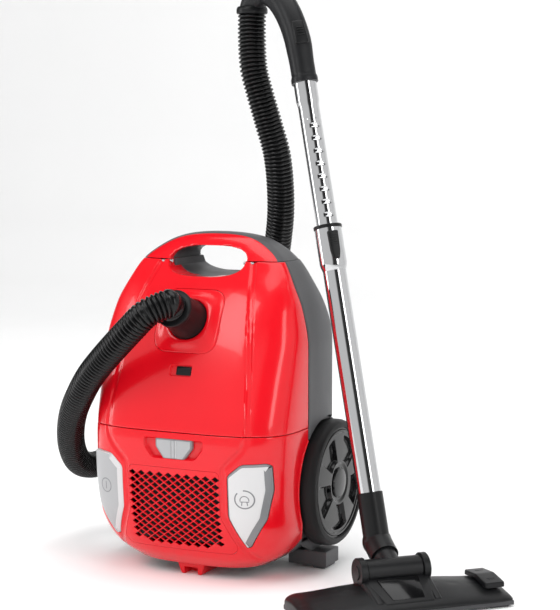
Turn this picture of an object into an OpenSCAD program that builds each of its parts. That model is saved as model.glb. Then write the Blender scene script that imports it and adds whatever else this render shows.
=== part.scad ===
// Canister vacuum cleaner, standing on its rear end, with hose, wand and floor nozzle.
// Millimetres. Z is up, the grille side faces -Y, and the origin is on the floor under the body.

/* [Body] */
// Half of the body's width
body_half = 143; // [120:160]
// Wall of the outer shells
wall = 3; // [2:0.5:4]
// Gap between neighbouring shells
gap = 0.4; // [0.3:0.1:1]
// Height where the lid meets the rear housing
lid_low = 196; // [180:210]
// Height where the lid meets the nose
lid_high = 410; // [395:420]

/* [Wheels] */
// Radius of the rear wheels
wheel_r = 84; // [70:95]
// Width of the rear wheels
wheel_w = 28; // [20:36]
// Height of the rear axle above the floor
axle_z = 115; // [100:130]
// Distance of the rear axle behind the seam
axle_y = 60; // [40:80]

/* [Hose] */
// Outer radius of the hose
hose_r = 19; // [17:21]

/* [Wand] */
// Outer radius of the lower tube
lower_r = 15; // [14:17]
// Outer radius of the upper tube
upper_r = 13.75; // [12:15]
// Number of latching notches in the upper tube
notches = 8; // [4:12]
// Distance between two notches
notch_pitch = 16.8; // [10:20]

/* [Nozzle] */
// Half of the nozzle's width
nozzle_half = 136; // [120:150]
// Turn of the nozzle about the vertical
nozzle_yaw = 46; // [30:60]

/* [Part] */
// Which sub-part to draw

/* [Hidden] */
$fn = 48;
red = [0.75, 0.08, 0.12];
grey = [0.25, 0.26, 0.28];
black = [0.08, 0.08, 0.09];
steel = [0.8, 0.8, 0.82];
silver = [0.7, 0.71, 0.73];
white = [0.93, 0.93, 0.9];
rubber = [0.13, 0.13, 0.14];

// Port in the lid: centre and tilt of its axis above the horizontal
port = [0, -60, 336];
port_tilt = 25;
port_out = [0, -cos(port_tilt), sin(port_tilt)];
// Lid hinge line
hinge_y = -7.5;
hinge_z = 407.5;
// Half width of the carry-handle opening
hand_half = 54;

// Wand: foot and head of the telescopic tube
tube_foot = [239, -25, 126];
tube_head = [116, 43, 644];
tube_len = norm(tube_head - tube_foot);
tube_up = (tube_head - tube_foot) / tube_len;
tube_face = 159;
// Elbow of the neck and centre of the nozzle's pivot
elbow = [253, -33, 66];
pivot = [286, -66, 42];

// Body outline by height: half width, front depth, back depth, middle, front roundness
function half_w(z) = body_half * lookup(z, [[15, 0.64], [30, 0.81], [50, 0.93], [80, 1], [300, 1], [350, 0.94],
  [380, 0.85], [410, 0.73], [430, 0.56], [445, 0.36]]);
function front_d(z) = lookup(z, [[15, 62], [33, 80], [60, 93], [100, 102], [180, 105], [200, 103], [240, 93],
  [300, 74], [340, 58], [375, 38], [400, 18], [425, 0], [445, -18]]);
function back_d(z) = lookup(z, [[15, 85], [40, 108], [80, 118], [320, 118], [360, 105], [400, 86], [430, 66],
  [445, 48]]);
function mid_y(z) = lookup(z, [[360, 0], [400, 6], [445, 32]]);
function front_n(z) = lookup(z, [[15, 3], [180, 3.8], [320, 3.2], [445, 2.4]]);
function pw(c, n) = sign(c) * pow(abs(c), 2 / n);
function ring(z, o, count = 32) = [for (i = [0:count - 1])
  let (a = 360 * i / count, s = sin(a), m = mid_y(z), n = s < 0 ? front_n(z) : 5)
  [(half_w(z) + o) * pw(cos(a), n), m + (s < 0 ? front_d(z) + o + m : back_d(z) + o - m) * pw(s, n), z]];

// Path helpers
function unit(v) = v / norm(v);
function spline(a, b, c, d, t) = 0.5 * (2 * b + (c - a) * t + (2 * a - 5 * b + 4 * c - d) * t * t
  + (3 * b - a - 3 * c + d) * t * t * t);
function smooth(p, k) = let (n = len(p)) concat([for (i = [0:n - 2], j = [0:k - 1])
  spline(p[max(i - 1, 0)], p[i], p[i + 1], p[min(i + 2, n - 1)], j / k)], [p[n - 1]]);
function along(p, i) = unit(p[min(i + 1, len(p) - 1)] - p[max(i - 1, 0)]);
function sides(p, i, s) = i == len(p) ? [] : let (t = along(p, i), r = unit(s - (s * t) * t))
  concat([r], sides(p, i + 1, r));

// Hose: rounded points by hand, from the coupling round the left side and behind the body to the grip
hose_start = port + 45.4 * port_out;
hose_way = [hose_start, hose_start + 5 * port_out, hose_start + 14 * port_out, [-21, -130, 350],
  [-43, -131, 330], [-67, -126, 309], [-93, -117, 287], [-121, -105, 262], [-149, -87, 233], [-177, -62, 203],
  [-201, -33, 171], [-219, -3, 142], [-230, 27, 118], [-235, 57, 105], [-234, 90, 101], [-222, 130, 111],
  [-190, 168, 138],
  [-142, 188, 180], [-92, 197, 238], [-42, 197, 308], [0, 182, 380], [25, 155, 441], [36, 137, 490],
  [40, 118, 545], [33, 105, 590], [26, 95, 627], [19, 89, 663], [16, 89.6, 702], [16, 90, 734.6]];
grip_way = [tube_head, tube_head + 20 * tube_up, [101, 52, 699], [85, 60, 730], [65, 69, 753], [44, 78, 763],
  [27, 85, 757], [17.5, 89.5, 746], [16, 90, 736]];

module loft(z0, z1, o) {
  zs = [for (z = [z0, 22, 33, 50, 65, 80, 110, 180, 215, 260, 300, 330, 355, 380, 400, 415, 430, 438, z1])
    if (z >= z0 && z <= z1) z];
  zz = [for (i = [0:len(zs) - 1]) if (i == 0 || zs[i] - zs[i - 1] > 0.5) zs[i]];
  n = 32;
  m = len(zz);
  pts = [for (z = zz) each ring(z, o, n)];
  walls = [for (k = [0:m - 2], i = [0:n - 1]) let (a = k * n + i, b = k * n + (i + 1) % n)
    each [[a, a + n, b + n], [a, b + n, b]]];
  polyhedron(pts, concat(walls, [[for (i = [0:n - 1]) i]], [[for (i = [n - 1:-1:0]) (m - 1) * n + i]]), 10);
}

module hollow_loft(z0, z1, o, t, floor = 0, roof = 0) {
  difference() {
    loft(z0, z1, o);
    loft(z0 + (floor > 0 ? floor : -1), z1 - (roof > 0 ? roof : -1), o - t);
  }
}

module front_half(limit = -0.2) {
  translate([-300, -400 + limit, -10])
    cube([600, 400, 500]);
}

module back_half(limit = 0.2) {
  translate([-300, limit, -10])
    cube([600, 400, 500]);
}

// Draws children with their Z axis turned onto d, at p
module aim(p, d) {
  translate(p)
    rotate([0, acos(d.z / norm(d)), atan2(d.y, d.x)])
      children();
}

// Draws children at distance s up the wand
module on_wand(s) {
  aim(tube_foot + s * tube_up, tube_up)
    children();
}

module on_port(s) {
  translate(port + s * port_out)
    rotate([90 - port_tilt, 0, 0])
      children();
}

module tube(r, inner, h) {
  difference() {
    cylinder(r = r, h = h);
    translate([0, 0, -1])
      cylinder(r = inner, h = h + 2);
  }
}

module sweep(p, radii, n) {
  s = sides(p, 0, [0.2, 0.1, 1]);
  m = len(p);
  pts = [for (k = [0:m - 1], i = [0:n - 1]) let (a = 360 * i / n, t = along(p, k))
    p[k] + lookup(k / (m - 1), radii) * (cos(a) * s[k] + sin(a) * cross(t, s[k]))];
  walls = [for (k = [0:m - 2], i = [0:n - 1]) let (a = k * n + i, b = k * n + (i + 1) % n)
    each [[a, a + n, b + n], [a, b + n, b]]];
  polyhedron(pts, concat(walls, [[for (i = [0:n - 1]) i]], [[for (i = [n - 1:-1:0]) (m - 1) * n + i]]), 10);
}

// Pipe along a path, open at both ends
module swept_pipe(p, radii, t, n) {
  last = len(p) - 1;
  longer = concat([p[0] - 2 * along(p, 0)], p, [p[last] + 2 * along(p, last)]);
  difference() {
    sweep(p, radii, n);
    sweep(longer, [for (q = radii) [q[0], q[1] - t]], n);
  }
}

// Outline of a pedal on the front, right-hand side
module pedal_outline(o) {
  offset(delta = o)
    polygon([[76, 147], [94, 162], [127, 162], [130, 130], [122, 90], [101, 54], [77, 92]]);
}

module panel_outline(o) {
  offset(delta = o)
    polygon([[-66, 150], [66, 150], [66, 92], [84, 52], [-84, 52], [-66, 92]]);
}

module front_cut(y0, y1) {
  translate([0, y1, 0])
    rotate([90, 0, 0])
      linear_extrude(y1 - y0)
        children();
}

module wheel_wells(r) {
  for (m = [0, 1])
    mirror([m, 0, 0])
      translate([128.5, axle_y, axle_z])
        rotate([0, 90, 0])
          cylinder(r = r, h = 60, $fn = 64);
}

module rear_housing() {
  color(red) {
    difference() {
      intersection() {
        hollow_loft(15, lid_low - gap, 0, wall, wall, 0);
        front_half();
      }
      front_cut(-130, -60)
        pedal_outline(0.6);
      mirror([1, 0, 0])
        front_cut(-130, -60)
          pedal_outline(0.6);
      front_cut(-130, -60)
        panel_outline(0);
      wheel_wells(wheel_r + 5);
      translate([-43, -130, 155])
        cube([86, 40, 35]);
    }
    difference() {
      translate([-46, -101.5, 152.5])
        cube([92, 12, 40]);
      translate([-43, -110, 155])
        cube([86, 18, 35]);
      translate([-7, -97.5, 180])
        cube([14, 4.5, 20]);
    }
    for (m = [0, 1])
      mirror([m, 0, 0])
        translate([92, -60.4, 98])
          cube([44, 3, 24]);
  }
}

module base_shell() {
  color(grey) {
    difference() {
      union() {
        intersection() {
          hollow_loft(15, lid_high, 0, wall, wall, 0);
          back_half();
        }
        bulkhead();
        for (x = [-100, 100], z = [90, 310])
          translate([x, 119, z])
            rotate([90, 0, 0])
              cylinder(r = 6, h = 24);
        translate([0, 112, 365])
          rotate([90, 0, 0])
            cylinder(r = 14, h = 28);
        translate([34, 115.5, 169])
          rotate([90, 0, 0]) {
            cylinder(r = 5, h = 72);
            cylinder(r = 1.95, h = 88);
          }
      }
      wheel_wells(wheel_r + 5);
      translate([-hand_half, -50, 390])
        cube([2 * hand_half, 200, 60]);
      for (x = [-100, 100], z = [90, 310])
        translate([x, 130, z])
          rotate([90, 0, 0]) {
            cylinder(r = 4.3, h = 16);
            cylinder(r = 2.1, h = 40);
          }
      translate([0, 114, 365])
        rotate([90, 0, 0])
          cylinder(r = 6.05, h = 24);
      translate([70, 130, 60])
        rotate([90, 0, 0])
          cylinder(r = 9, h = 30);
    }
    hand_floor();
    for (m = [0, 1])
      mirror([m, 0, 0]) {
        well_wall();
        stand_bracket();
        hand_wall(lid_high - 24, lid_high, 0.5);
      }
  }
}

// Floor and side walls of the hollow behind the carry handle
module hand_floor() {
  intersection() {
    loft(386, 389.5, -wall - 1.5);
    translate([-57, -17, 380])
      cube([114, 200, 20]);
  }
  intersection() {
    loft(386, 389.5, -1);
    translate([-57, 40, 380])
      cube([114, 200, 20]);
  }
}

module hand_wall(z0, z1, y0) {
  intersection() {
    loft(z0, z1, -1);
    translate([hand_half, y0, z0])
      cube([3, 160, z1 - z0]);
  }
}

module bulkhead() {
  difference() {
    intersection() {
      loft(lid_low + gap, lid_low + 3, -wall - 1.5);
      translate([-200, -200, 0])
        cube([400, 400, 400]);
    }
    translate([-66, 5, 190])
      cylinder(r = 30, h = 20);
    translate([-8, -120, 190])
      cube([16, 27.5, 20]);
  }
  intersection() {
    loft(lid_low + gap, lid_low + 3, -1);
    back_half(2);
  }
}

module well_wall() {
  difference() {
    translate([125.5, axle_y, axle_z])
      rotate([0, 90, 0])
        cylinder(r = wheel_r + 7, h = 3, $fn = 64);
    translate([120, axle_y, axle_z])
      rotate([0, 90, 0])
        cylinder(r = 5.95, h = 20);
  }
  difference() {
    translate([105, axle_y, axle_z])
      rotate([0, 90, 0])
        cylinder(r = 12, h = 21);
    translate([104, axle_y, axle_z])
      rotate([0, 90, 0])
        cylinder(r = 5.95, h = 24);
  }
}

module stand_bracket() {
  difference() {
    translate([95, 40, 4.2])
      cube([55, 40, 19]);
    loft(18, 60, -wall + 0.5);
  }
}

module nose_housing() {
  color(red)
    difference() {
      hollow_loft(lid_high + gap, 445, 0, 8, 0, 6);
      translate([-hand_half, -60, 400])
        cube([2 * hand_half, 200, 27]);
      for (m = [0, 1])
        mirror([m, 0, 0])
          translate([40, hinge_y, hinge_z])
            rotate([0, 90, 0])
              cylinder(r = 4.5, h = 80);
    }
  color(red)
    for (m = [0, 1])
      mirror([m, 0, 0]) {
        hand_wall(lid_high + gap, 434, -20);
        hinge_lug();
      }
}

module hinge_lug() {
  difference() {
    translate([hand_half + 0.2, hinge_y - 2.6, hinge_z - 4])
      cube([4, 6.6, 8]);
    translate([hand_half - 2, hinge_y, hinge_z])
      rotate([0, 90, 0])
        cylinder(r = 2.05, h = 10);
  }
}

module hinge_pins() {
  color(steel)
    for (m = [0, 1])
      mirror([m, 0, 0])
        translate([hand_half - 0.6, hinge_y, hinge_z])
          rotate([0, 90, 0])
            cylinder(r = 2, h = 15);
}

module lid() {
  color(red) {
    difference() {
      intersection() {
        hollow_loft(lid_low + gap, lid_high, 0, wall);
        front_half();
      }
      translate([-hand_half - 4.8, -60, 389])
        cube([2 * hand_half + 9.6, 120, 60]);
      on_port(-40)
        port_block(94, 89, 80);
      translate([-9.5, -120, 272.5])
        cube([19, 80, 11]);
    }
    for (m = [0, 1])
      mirror([m, 0, 0])
        knuckle();
  }
}

module knuckle() {
  difference() {
    translate([hand_half + 4.8, hinge_y - 3, hinge_z - 6])
      cube([10, 7, 8.6]);
    translate([hand_half, hinge_y, hinge_z])
      rotate([0, 90, 0])
        cylinder(r = 2, h = 30);
  }
}

module port_block(w, h, d) {
  linear_extrude(d)
    offset(r = 18)
      square([w - 36, h - 36], center = true);
}

module lid_seal() {
  color(rubber)
    intersection() {
      hollow_loft(lid_low + 4, lid_low + 9, -wall - 0.6, 2);
      front_half(-1);
    }
}

module port_bezel() {
  color(red)
    difference() {
      on_port(-8)
        port_block(93, 88, 12);
      on_port(-20)
        cylinder(r = 27, h = 60);
    }
}

module indicator_window() {
  color(black)
    translate([-9.4, -82.6, 273.4])
      rotate([-18, 0, 0])
        cube([18.8, 2.5, 10]);
}

module indicator_flag() {
  color([0.9, 0.3, 0.1])
    translate([-7, -76, 262])
      cube([14, 2, 9]);
}

module hose_coupling() {
  color(black)
    difference() {
      union() {
        on_port(-22)
          cylinder(r = 22, h = 24);
        on_port(-3)
          cylinder(r = 26.93, h = 9);
        on_port(2)
          cylinder(r1 = 26, r2 = 23, h = 36);
        on_port(38)
          cylinder(r = 24, h = 7);
      }
      on_port(-30)
        cylinder(r = 17, h = 100);
    }
}

module latch() {
  color(silver) {
    front_cut(-105, -97)
      polygon([[-25, 188], [25, 188], [25, 177], [13, 161], [-13, 161], [-25, 177]]);
    translate([-6, -97.1, 182])
      cube([12, 3, 5]);
    translate([-6, -95.4, 182])
      cube([12, 2, 22]);
  }
}

module latch_spring() {
  color(steel)
    translate([0, -94.8, 163])
      cylinder(r = 1.5, h = 18, $fn = 16);
}

module pedal_plate() {
  intersection() {
    difference() {
      loft(40, 175, 1.6);
      loft(30, 185, -wall - 1);
    }
    front_cut(-130, -60)
      pedal_outline(0);
  }
}

module power_pedal() {
  color(silver)
    mirror([1, 0, 0])
      pedal_plate();
}

module rewind_pedal() {
  color(silver)
    pedal_plate();
}

module pedal_spring() {
  translate([103, -60.6, 110])
    rotate([90, 0, 0])
      cylinder(r = 4, h = 22.4, $fn = 16);
}

module power_pedal_spring() {
  color(steel)
    mirror([1, 0, 0])
      pedal_spring();
}

module rewind_pedal_spring() {
  color(steel)
    pedal_spring();
}

module exhaust_grille() {
  color(red)
    front_cut(-93, -89.8)
      difference() {
        translate([-64, 48])
          square([128, 100]);
        for (row = [0:18], col = [-8:8])
          if ((row + abs(col)) % 2 == 1)
            translate([col * 6.75, 54.25 + row * 4.75])
              polygon([[-5.2, 0], [0, -3.65], [5.2, 0], [0, 3.65]]);
      }
}

module exhaust_filter() {
  color(white)
    translate([-58, -89, 54])
      cube([116, 22, 88]);
}

module motor_casing() {
  color(grey)
    translate([-66, 8, 46])
      difference() {
        cylinder(r = 54, h = 138);
        translate([0, 0, 3])
          cylinder(r = 51, h = 160);
        translate([0, 0, -1])
          cylinder(r = 12, h = 6);
      }
}

module motor() {
  color(steel)
    translate([-66, 8, 60])
      tube(40, 26, 80);
}

module motor_mounts() {
  color(rubber)
    for (z = [62, 120])
      translate([-66, 8, z])
        tube(50.95, 40, 12);
}

module motor_rotor() {
  color(steel)
    translate([-66, 8, 0]) {
      translate([0, 0, 52])
        cylinder(r = 4, h = 114);
      translate([0, 0, 70])
        cylinder(r = 25, h = 60);
      translate([0, 0, 146])
        cylinder(r = 47, h = 16);
    }
}

module pre_motor_filter() {
  color(white)
    translate([-110, -30, 185.5])
      cube([88, 76, 9]);
}

module dust_bag() {
  color([0.85, 0.8, 0.7])
    hull()
      for (x = [-75, 75], y = [-10, 78], z = [228, 308])
        translate([x, y, z])
          sphere(r = 24, $fn = 16);
}

module bag_collar() {
  color([0.7, 0.6, 0.45])
    difference() {
      on_port(-34)
        translate([-50, -45, 0])
          cube([100, 90, 3]);
      on_port(-40)
        cylinder(r = 20, h = 20);
    }
}

module cord_outlet() {
  color(black)
    difference() {
      translate([70, 119, 60])
        rotate([90, 0, 0])
          cylinder(r = 9, h = 14);
      translate([70, 130, 60])
        rotate([90, 0, 0])
          cylinder(r = 4, h = 30);
    }
}

module power_switch() {
  color(black)
    translate([-116, -56, 60])
      cube([16, 14, 26]);
}

module stand_feet() {
  color(rubber)
    for (m = [0, 1])
      mirror([m, 0, 0])
        translate([128, 41, 0])
          cube([21, 38, 4]);
}

module parking_hook() {
  color(red)
    difference() {
      translate([-17, -58, 0])
        cube([34, 64, 14.8]);
      translate([-10, -52, -1])
        cube([20, 14, 11]);
    }
}

module axle_pins() {
  color(steel)
    for (m = [0, 1])
      mirror([m, 0, 0])
        translate([106, axle_y, axle_z])
          rotate([0, 90, 0]) {
            cylinder(r = 5.95, h = 23);
            cylinder(r = 5.5, h = 49);
          }
}

module screws() {
  color(steel)
    for (x = [-100, 100], z = [90, 310])
      translate([x, 116, z])
        rotate([90, 0, 0]) {
          translate([0, 0, -0.2])
            cylinder(r = 4.1, h = 2.2);
          cylinder(r = 2, h = 20);
        }
}

module reel_axle() {
  color(steel)
    translate([68, 115.5, 100])
      rotate([90, 0, 0])
        cylinder(r = 5, h = 135);
}

module reel_drum() {
  color(white)
    translate([68, 44, 100])
      rotate([90, 0, 0])
        difference() {
          union() {
            cylinder(r = 55, h = 3);
            cylinder(r = 24, h = 50);
            translate([0, 0, 47])
              cylinder(r = 55, h = 3);
          }
          translate([0, 0, -1])
            cylinder(r = 5.06, h = 60);
        }
}

module rewind_spring() {
  color(steel)
    translate([68, 62, 100])
      rotate([90, 0, 0])
        tube(34, 5, 14);
}

module reel_brake() {
  color(white) {
    difference() {
      translate([34, 42, 169])
        rotate([90, 0, 0])
          cylinder(r = 6, h = 12);
      translate([34, 50, 169])
        rotate([90, 0, 0])
          cylinder(r = 2, h = 30);
    }
    translate([38, 30, 166])
      cube([34, 12, 6]);
    translate([70, 42, 164])
      rotate([90, 0, 0])
        cylinder(r = 7, h = 12);
  }
}

module wheel(part) {
  translate([134, axle_y, axle_z])
    rotate([0, 90, 0]) {
      if (part == "tyre")
        difference() {
          cylinder(r = wheel_r, h = wheel_w, $fn = 96);
          translate([0, 0, -1])
            cylinder(r = 72, h = wheel_w + 2, $fn = 96);
        }
      if (part == "rim")
        difference() {
          union() {
            tube(72, 66, wheel_w - 1);
            translate([0, 0, 12])
              cylinder(r = 70, h = 6);
            cylinder(r = 14, h = 24);
          }
          translate([0, 0, -1])
            cylinder(r = 5.56, h = 40);
          for (a = [0:72:359])
            rotate([0, 0, a])
              translate([42, 0, 10])
                cylinder(r = 11, h = 10);
        }
      if (part == "cap")
        translate([0, 0, 24])
          cylinder(r1 = 18, r2 = 15, h = 5);
    }
}

module wheel_right_rim() {
  color(black)
    wheel("rim");
}

module wheel_right_tyre() {
  color(rubber)
    wheel("tyre");
}

module wheel_right_cap() {
  color(black)
    wheel("cap");
}

module wheel_left_rim() {
  color(black)
    mirror([1, 0, 0])
      wheel("rim");
}

module wheel_left_tyre() {
  color(rubber)
    mirror([1, 0, 0])
      wheel("tyre");
}

module wheel_left_cap() {
  color(black)
    mirror([1, 0, 0])
      wheel("cap");
}

module caster_fork() {
  color(grey) {
    translate([0, 115, 365])
      rotate([90, 0, 0])
        cylinder(r = 6, h = 23);
    translate([0, 115.8, 365])
      rotate([90, 0, 0])
        cylinder(r = 15, h = 3.4);
    for (x = [-13, 10])
      translate([x, 113, 346])
        cube([3, 22, 22]);
    translate([-13, 130, 354])
      rotate([0, 90, 0])
        cylinder(r = 2, h = 26);
  }
}

module caster_wheel() {
  color(rubber)
    translate([-9, 130, 354])
      rotate([0, 90, 0])
        difference() {
          cylinder(r = 14, h = 18);
          translate([0, 0, -1])
            cylinder(r = 2.05, h = 20);
        }
}

module hose() {
  color(black)
    sweep(smooth(hose_way, 2), [[0, hose_r], [1, hose_r]], 12);
}

module hose_cuff() {
  color(black)
    translate([16, 90, 736])
      tube(21, 16.5, 9);
}

module grip() {
  color(black) {
    difference() {
      swept_pipe(smooth(grip_way, 4), [[0, 15], [0.3, 16.5], [0.8, 16], [1, 16]], 2.5, 24);
    }
    on_wand(tube_len - 34)
      tube(13.6, 11.5, 36);
  }
}

module grip_slider() {
  color(grey)
    aim([101, 52, 699], [-0.4, 0.25, 1])
      rotate([0, 0, tube_face])
        translate([17.2, -7, -12])
          cube([4, 14, 24]);
}

module upper_tube() {
  color(steel)
    difference() {
      union() {
        on_wand(190)
          cylinder(r = upper_r, h = 312);
        on_wand(500)
          cylinder(r = lower_r, h = tube_len - 500.3);
      }
      on_wand(180)
        cylinder(r = upper_r - 1.2, h = 330);
      on_wand(502)
        cylinder(r = 13.65, h = 60);
      for (i = [0:notches - 1])
        on_wand(356 + i * notch_pitch)
          rotate([0, 0, tube_face])
            translate([upper_r - 0.8, -4, -3])
              cube([4, 8, 6]);
    }
}

module lower_tube() {
  color(steel)
    on_wand(0.2)
      tube(lower_r, upper_r + 0.06, 334);
}

module tube_collar() {
  color(steel)
    difference() {
      on_wand(289)
        tube(17.5, lower_r, 46.2);
      on_wand(297)
        rotate([0, 0, tube_face])
          translate([12, -6.4, 0])
            cube([12, 12.8, 30]);
    }
  color(steel)
    on_wand(334.4)
      tube(17.5, upper_r + 0.4, 8.6);
}

module tube_button() {
  color(black)
    on_wand(300)
      rotate([0, 0, tube_face])
        translate([15.2, -6, 0])
          cube([5.4, 12, 22]);
}

module nozzle_neck() {
  up = tube_foot - elbow;
  back = elbow - pivot;
  color(black)
    difference() {
      union() {
        aim(elbow, up)
          cylinder(r = 16.5, h = norm(up));
        on_wand(-1)
          cylinder(r = 13.7, h = 36);
        sphere_at(elbow, 18.6);
        aim(pivot + 0.46 * back, back)
          cylinder(r = 18, h = 0.54 * norm(back));
      }
      aim(elbow, up)
        cylinder(r = 11.5, h = 120);
      sphere_at(elbow, 12.2);
      aim(pivot, back)
        cylinder(r = 15.06, h = 0.8 * norm(back));
      aim(pivot, back)
        cylinder(r = 11.5, h = norm(back));
    }
}

module sphere_at(p, r) {
  translate(p)
    sphere(r = r, $fn = 32);
}

module nozzle_barrel() {
  back = elbow - pivot;
  color(black)
    difference() {
      union() {
        translate(pivot)
          rotate([0, 0, nozzle_yaw])
            rotate([0, 90, 0]) {
              cylinder(r = 15.5, h = 72, center = true);
              cylinder(r = 6, h = 88, center = true);
            }
        aim(pivot, back)
          cylinder(r = 15, h = 0.76 * norm(back));
      }
      aim(pivot, back)
        cylinder(r = 12, h = 80);
    }
}

// Nozzle frame: x along its width, -y forward, the floor at z = 0
module in_nozzle() {
  translate([pivot.x, pivot.y, 0])
    rotate([0, 0, nozzle_yaw])
      children();
}

module nozzle_profile(o, h) {
  offset(delta = -o)
    polygon([[18, 8], [18, 24], [8, h - 6], [-6, h], [-24, h], [-58, 20], [-66, 8]]);
}

module across(x0, x1) {
  translate([x0, 0, 0])
    rotate([90, 0, 90])
      linear_extrude(x1 - x0)
        children();
}

module nozzle_head() {
  color(black)
    in_nozzle()
      difference() {
        union() {
          difference() {
            union() {
              across(-nozzle_half, nozzle_half)
                nozzle_profile(0, 30);
              across(-46, 46)
                nozzle_profile(0, 38);
            }
            across(-nozzle_half + 3, nozzle_half - 3)
              nozzle_profile(3, 30);
            translate([-nozzle_half + 3, -60, 7])
              cube([2 * nozzle_half - 6, 74, 5]);
          }
          for (x = [-46, 36.4])
            translate([x, 0, 42])
              rotate([0, 90, 0])
                cylinder(r = 17, h = 9.6);
          for (x = [-46, 36.4])
            translate([x, -16, 10])
              cube([9.6, 32, 28]);
        }
        translate([-36.4, -18.5, 9])
          cube([72.8, 60, 60]);
        for (x = [-50, 36])
          translate([x, 0, 42])
            rotate([0, 90, 0])
              cylinder(r = 6.05, h = 14);
        translate([103.5, -48.5, 9])
          cube([29, 62, 40]);
        for (x = [-72, 60])
          translate([x - 1, -3, 5])
            cube([14, 24, 12]);
      }
  color(black)
    in_nozzle()
      translate([101, -18, 29])
        rotate([0, 90, 0])
          cylinder(r = 1.45, h = 34);
}

module nozzle_sole() {
  color(grey)
    in_nozzle()
      difference() {
        union() {
          translate([-nozzle_half + 1, -64, 2.5])
            cube([2 * nozzle_half - 2, 80, 5.2]);
          for (x = [-nozzle_half + 6, nozzle_half - 26])
            translate([x, -60, 0])
              cube([20, 6, 3]);
        }
        translate([-115, -44, -1])
          cube([230, 14, 20]);
        translate([-112, -52.2, -1])
          cube([224, 4.4, 20]);
        for (x = [-72, 60])
          translate([x - 1, -3, -1])
            cube([14, 24, 20]);
      }
  color(grey)
    in_nozzle()
      for (x = [-72, 60]) {
        translate([x - 3, 8, 9])
          rotate([0, 90, 0])
            cylinder(r = 1.5, h = 18);
        for (side = [-3, 13])
          translate([x + side, 5, 3])
            cube([2, 6, 8.5]);
      }
}

module nozzle_pedal() {
  color(grey)
    in_nozzle()
      difference() {
        translate([104.5, 0, 0])
          rotate([90, 0, 90])
            linear_extrude(27)
              polygon([[12, 25], [12, 29], [-18, 32], [-47.5, 26], [-47.5, 22], [-18, 26]]);
        translate([100, -18, 29])
          rotate([0, 90, 0])
            cylinder(r = 1.5, h = 50);
      }
}

module nozzle_brush() {
  color(black)
    in_nozzle()
      translate([-111.5, -51.9, 4])
        cube([223, 3.8, 8]);
}

module nozzle_rollers() {
  color(rubber)
    in_nozzle()
      for (x = [-72, 60])
        translate([x, 8, 9])
          rotate([0, 90, 0])
            difference() {
              cylinder(r = 9, h = 12);
              translate([0, 0, -1])
                cylinder(r = 1.56, h = 14);
            }
}

rear_housing();
base_shell();
nose_housing();
exhaust_grille();
exhaust_filter();
motor_casing();
motor();
motor_mounts();
pre_motor_filter();
dust_bag();
bag_collar();
cord_outlet();
power_switch();
stand_feet();
parking_hook();
axle_pins();
screws();
rewind_spring();
reel_axle();
lid();
lid_seal();
port_bezel();
indicator_window();
hinge_pins();
indicator_flag();
hose_coupling();
latch();
latch_spring();
power_pedal();
power_pedal_spring();
rewind_pedal();
rewind_pedal_spring();
motor_rotor();
reel_drum();
reel_brake();
wheel_left_rim();
wheel_left_tyre();
wheel_left_cap();
wheel_right_rim();
wheel_right_tyre();
wheel_right_cap();
caster_fork();
caster_wheel();
hose();
hose_cuff();
grip();
grip_slider();
upper_tube();
lower_tube();
tube_collar();
tube_button();
nozzle_neck();
nozzle_barrel();
nozzle_head();
nozzle_sole();
nozzle_pedal();
nozzle_brush();
nozzle_rollers();
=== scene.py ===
import math
import bpy
import bmesh
import numpy as np
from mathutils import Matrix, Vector
from mathutils.geometry import delaunay_2d_cdt


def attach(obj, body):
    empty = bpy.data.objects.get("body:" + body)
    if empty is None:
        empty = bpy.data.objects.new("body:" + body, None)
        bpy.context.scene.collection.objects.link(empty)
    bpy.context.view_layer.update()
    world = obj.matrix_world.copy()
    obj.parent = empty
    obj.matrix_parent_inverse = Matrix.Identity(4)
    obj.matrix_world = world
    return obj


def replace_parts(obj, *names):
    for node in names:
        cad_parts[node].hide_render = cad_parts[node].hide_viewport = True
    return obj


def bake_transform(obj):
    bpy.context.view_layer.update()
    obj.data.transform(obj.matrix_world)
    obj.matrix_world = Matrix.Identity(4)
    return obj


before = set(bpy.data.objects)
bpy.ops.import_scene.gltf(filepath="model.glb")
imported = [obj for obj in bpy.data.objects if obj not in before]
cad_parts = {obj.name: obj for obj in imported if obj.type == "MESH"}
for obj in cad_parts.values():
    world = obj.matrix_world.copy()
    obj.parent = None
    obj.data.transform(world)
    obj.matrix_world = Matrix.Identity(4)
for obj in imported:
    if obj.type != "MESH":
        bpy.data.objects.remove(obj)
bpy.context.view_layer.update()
scene = bpy.context.scene

# ---------------------------------------------------------------- camera and studio
cam_data = bpy.data.cameras.new("camera")
cam_data.sensor_fit = "AUTO"
cam_data.sensor_width = 36
cam_data.lens = 94.4
cam_data.clip_end = 50
cam = bpy.data.objects.new("camera", cam_data)
cam.location = (1.0045, -1.851, 0.5599)
cam.rotation_euler = (math.radians(84.3), 0, math.radians(26))
scene.collection.objects.link(cam)
scene.camera = cam
scene.view_settings.view_transform = "Standard"
scene.view_settings.look = "None"


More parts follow.
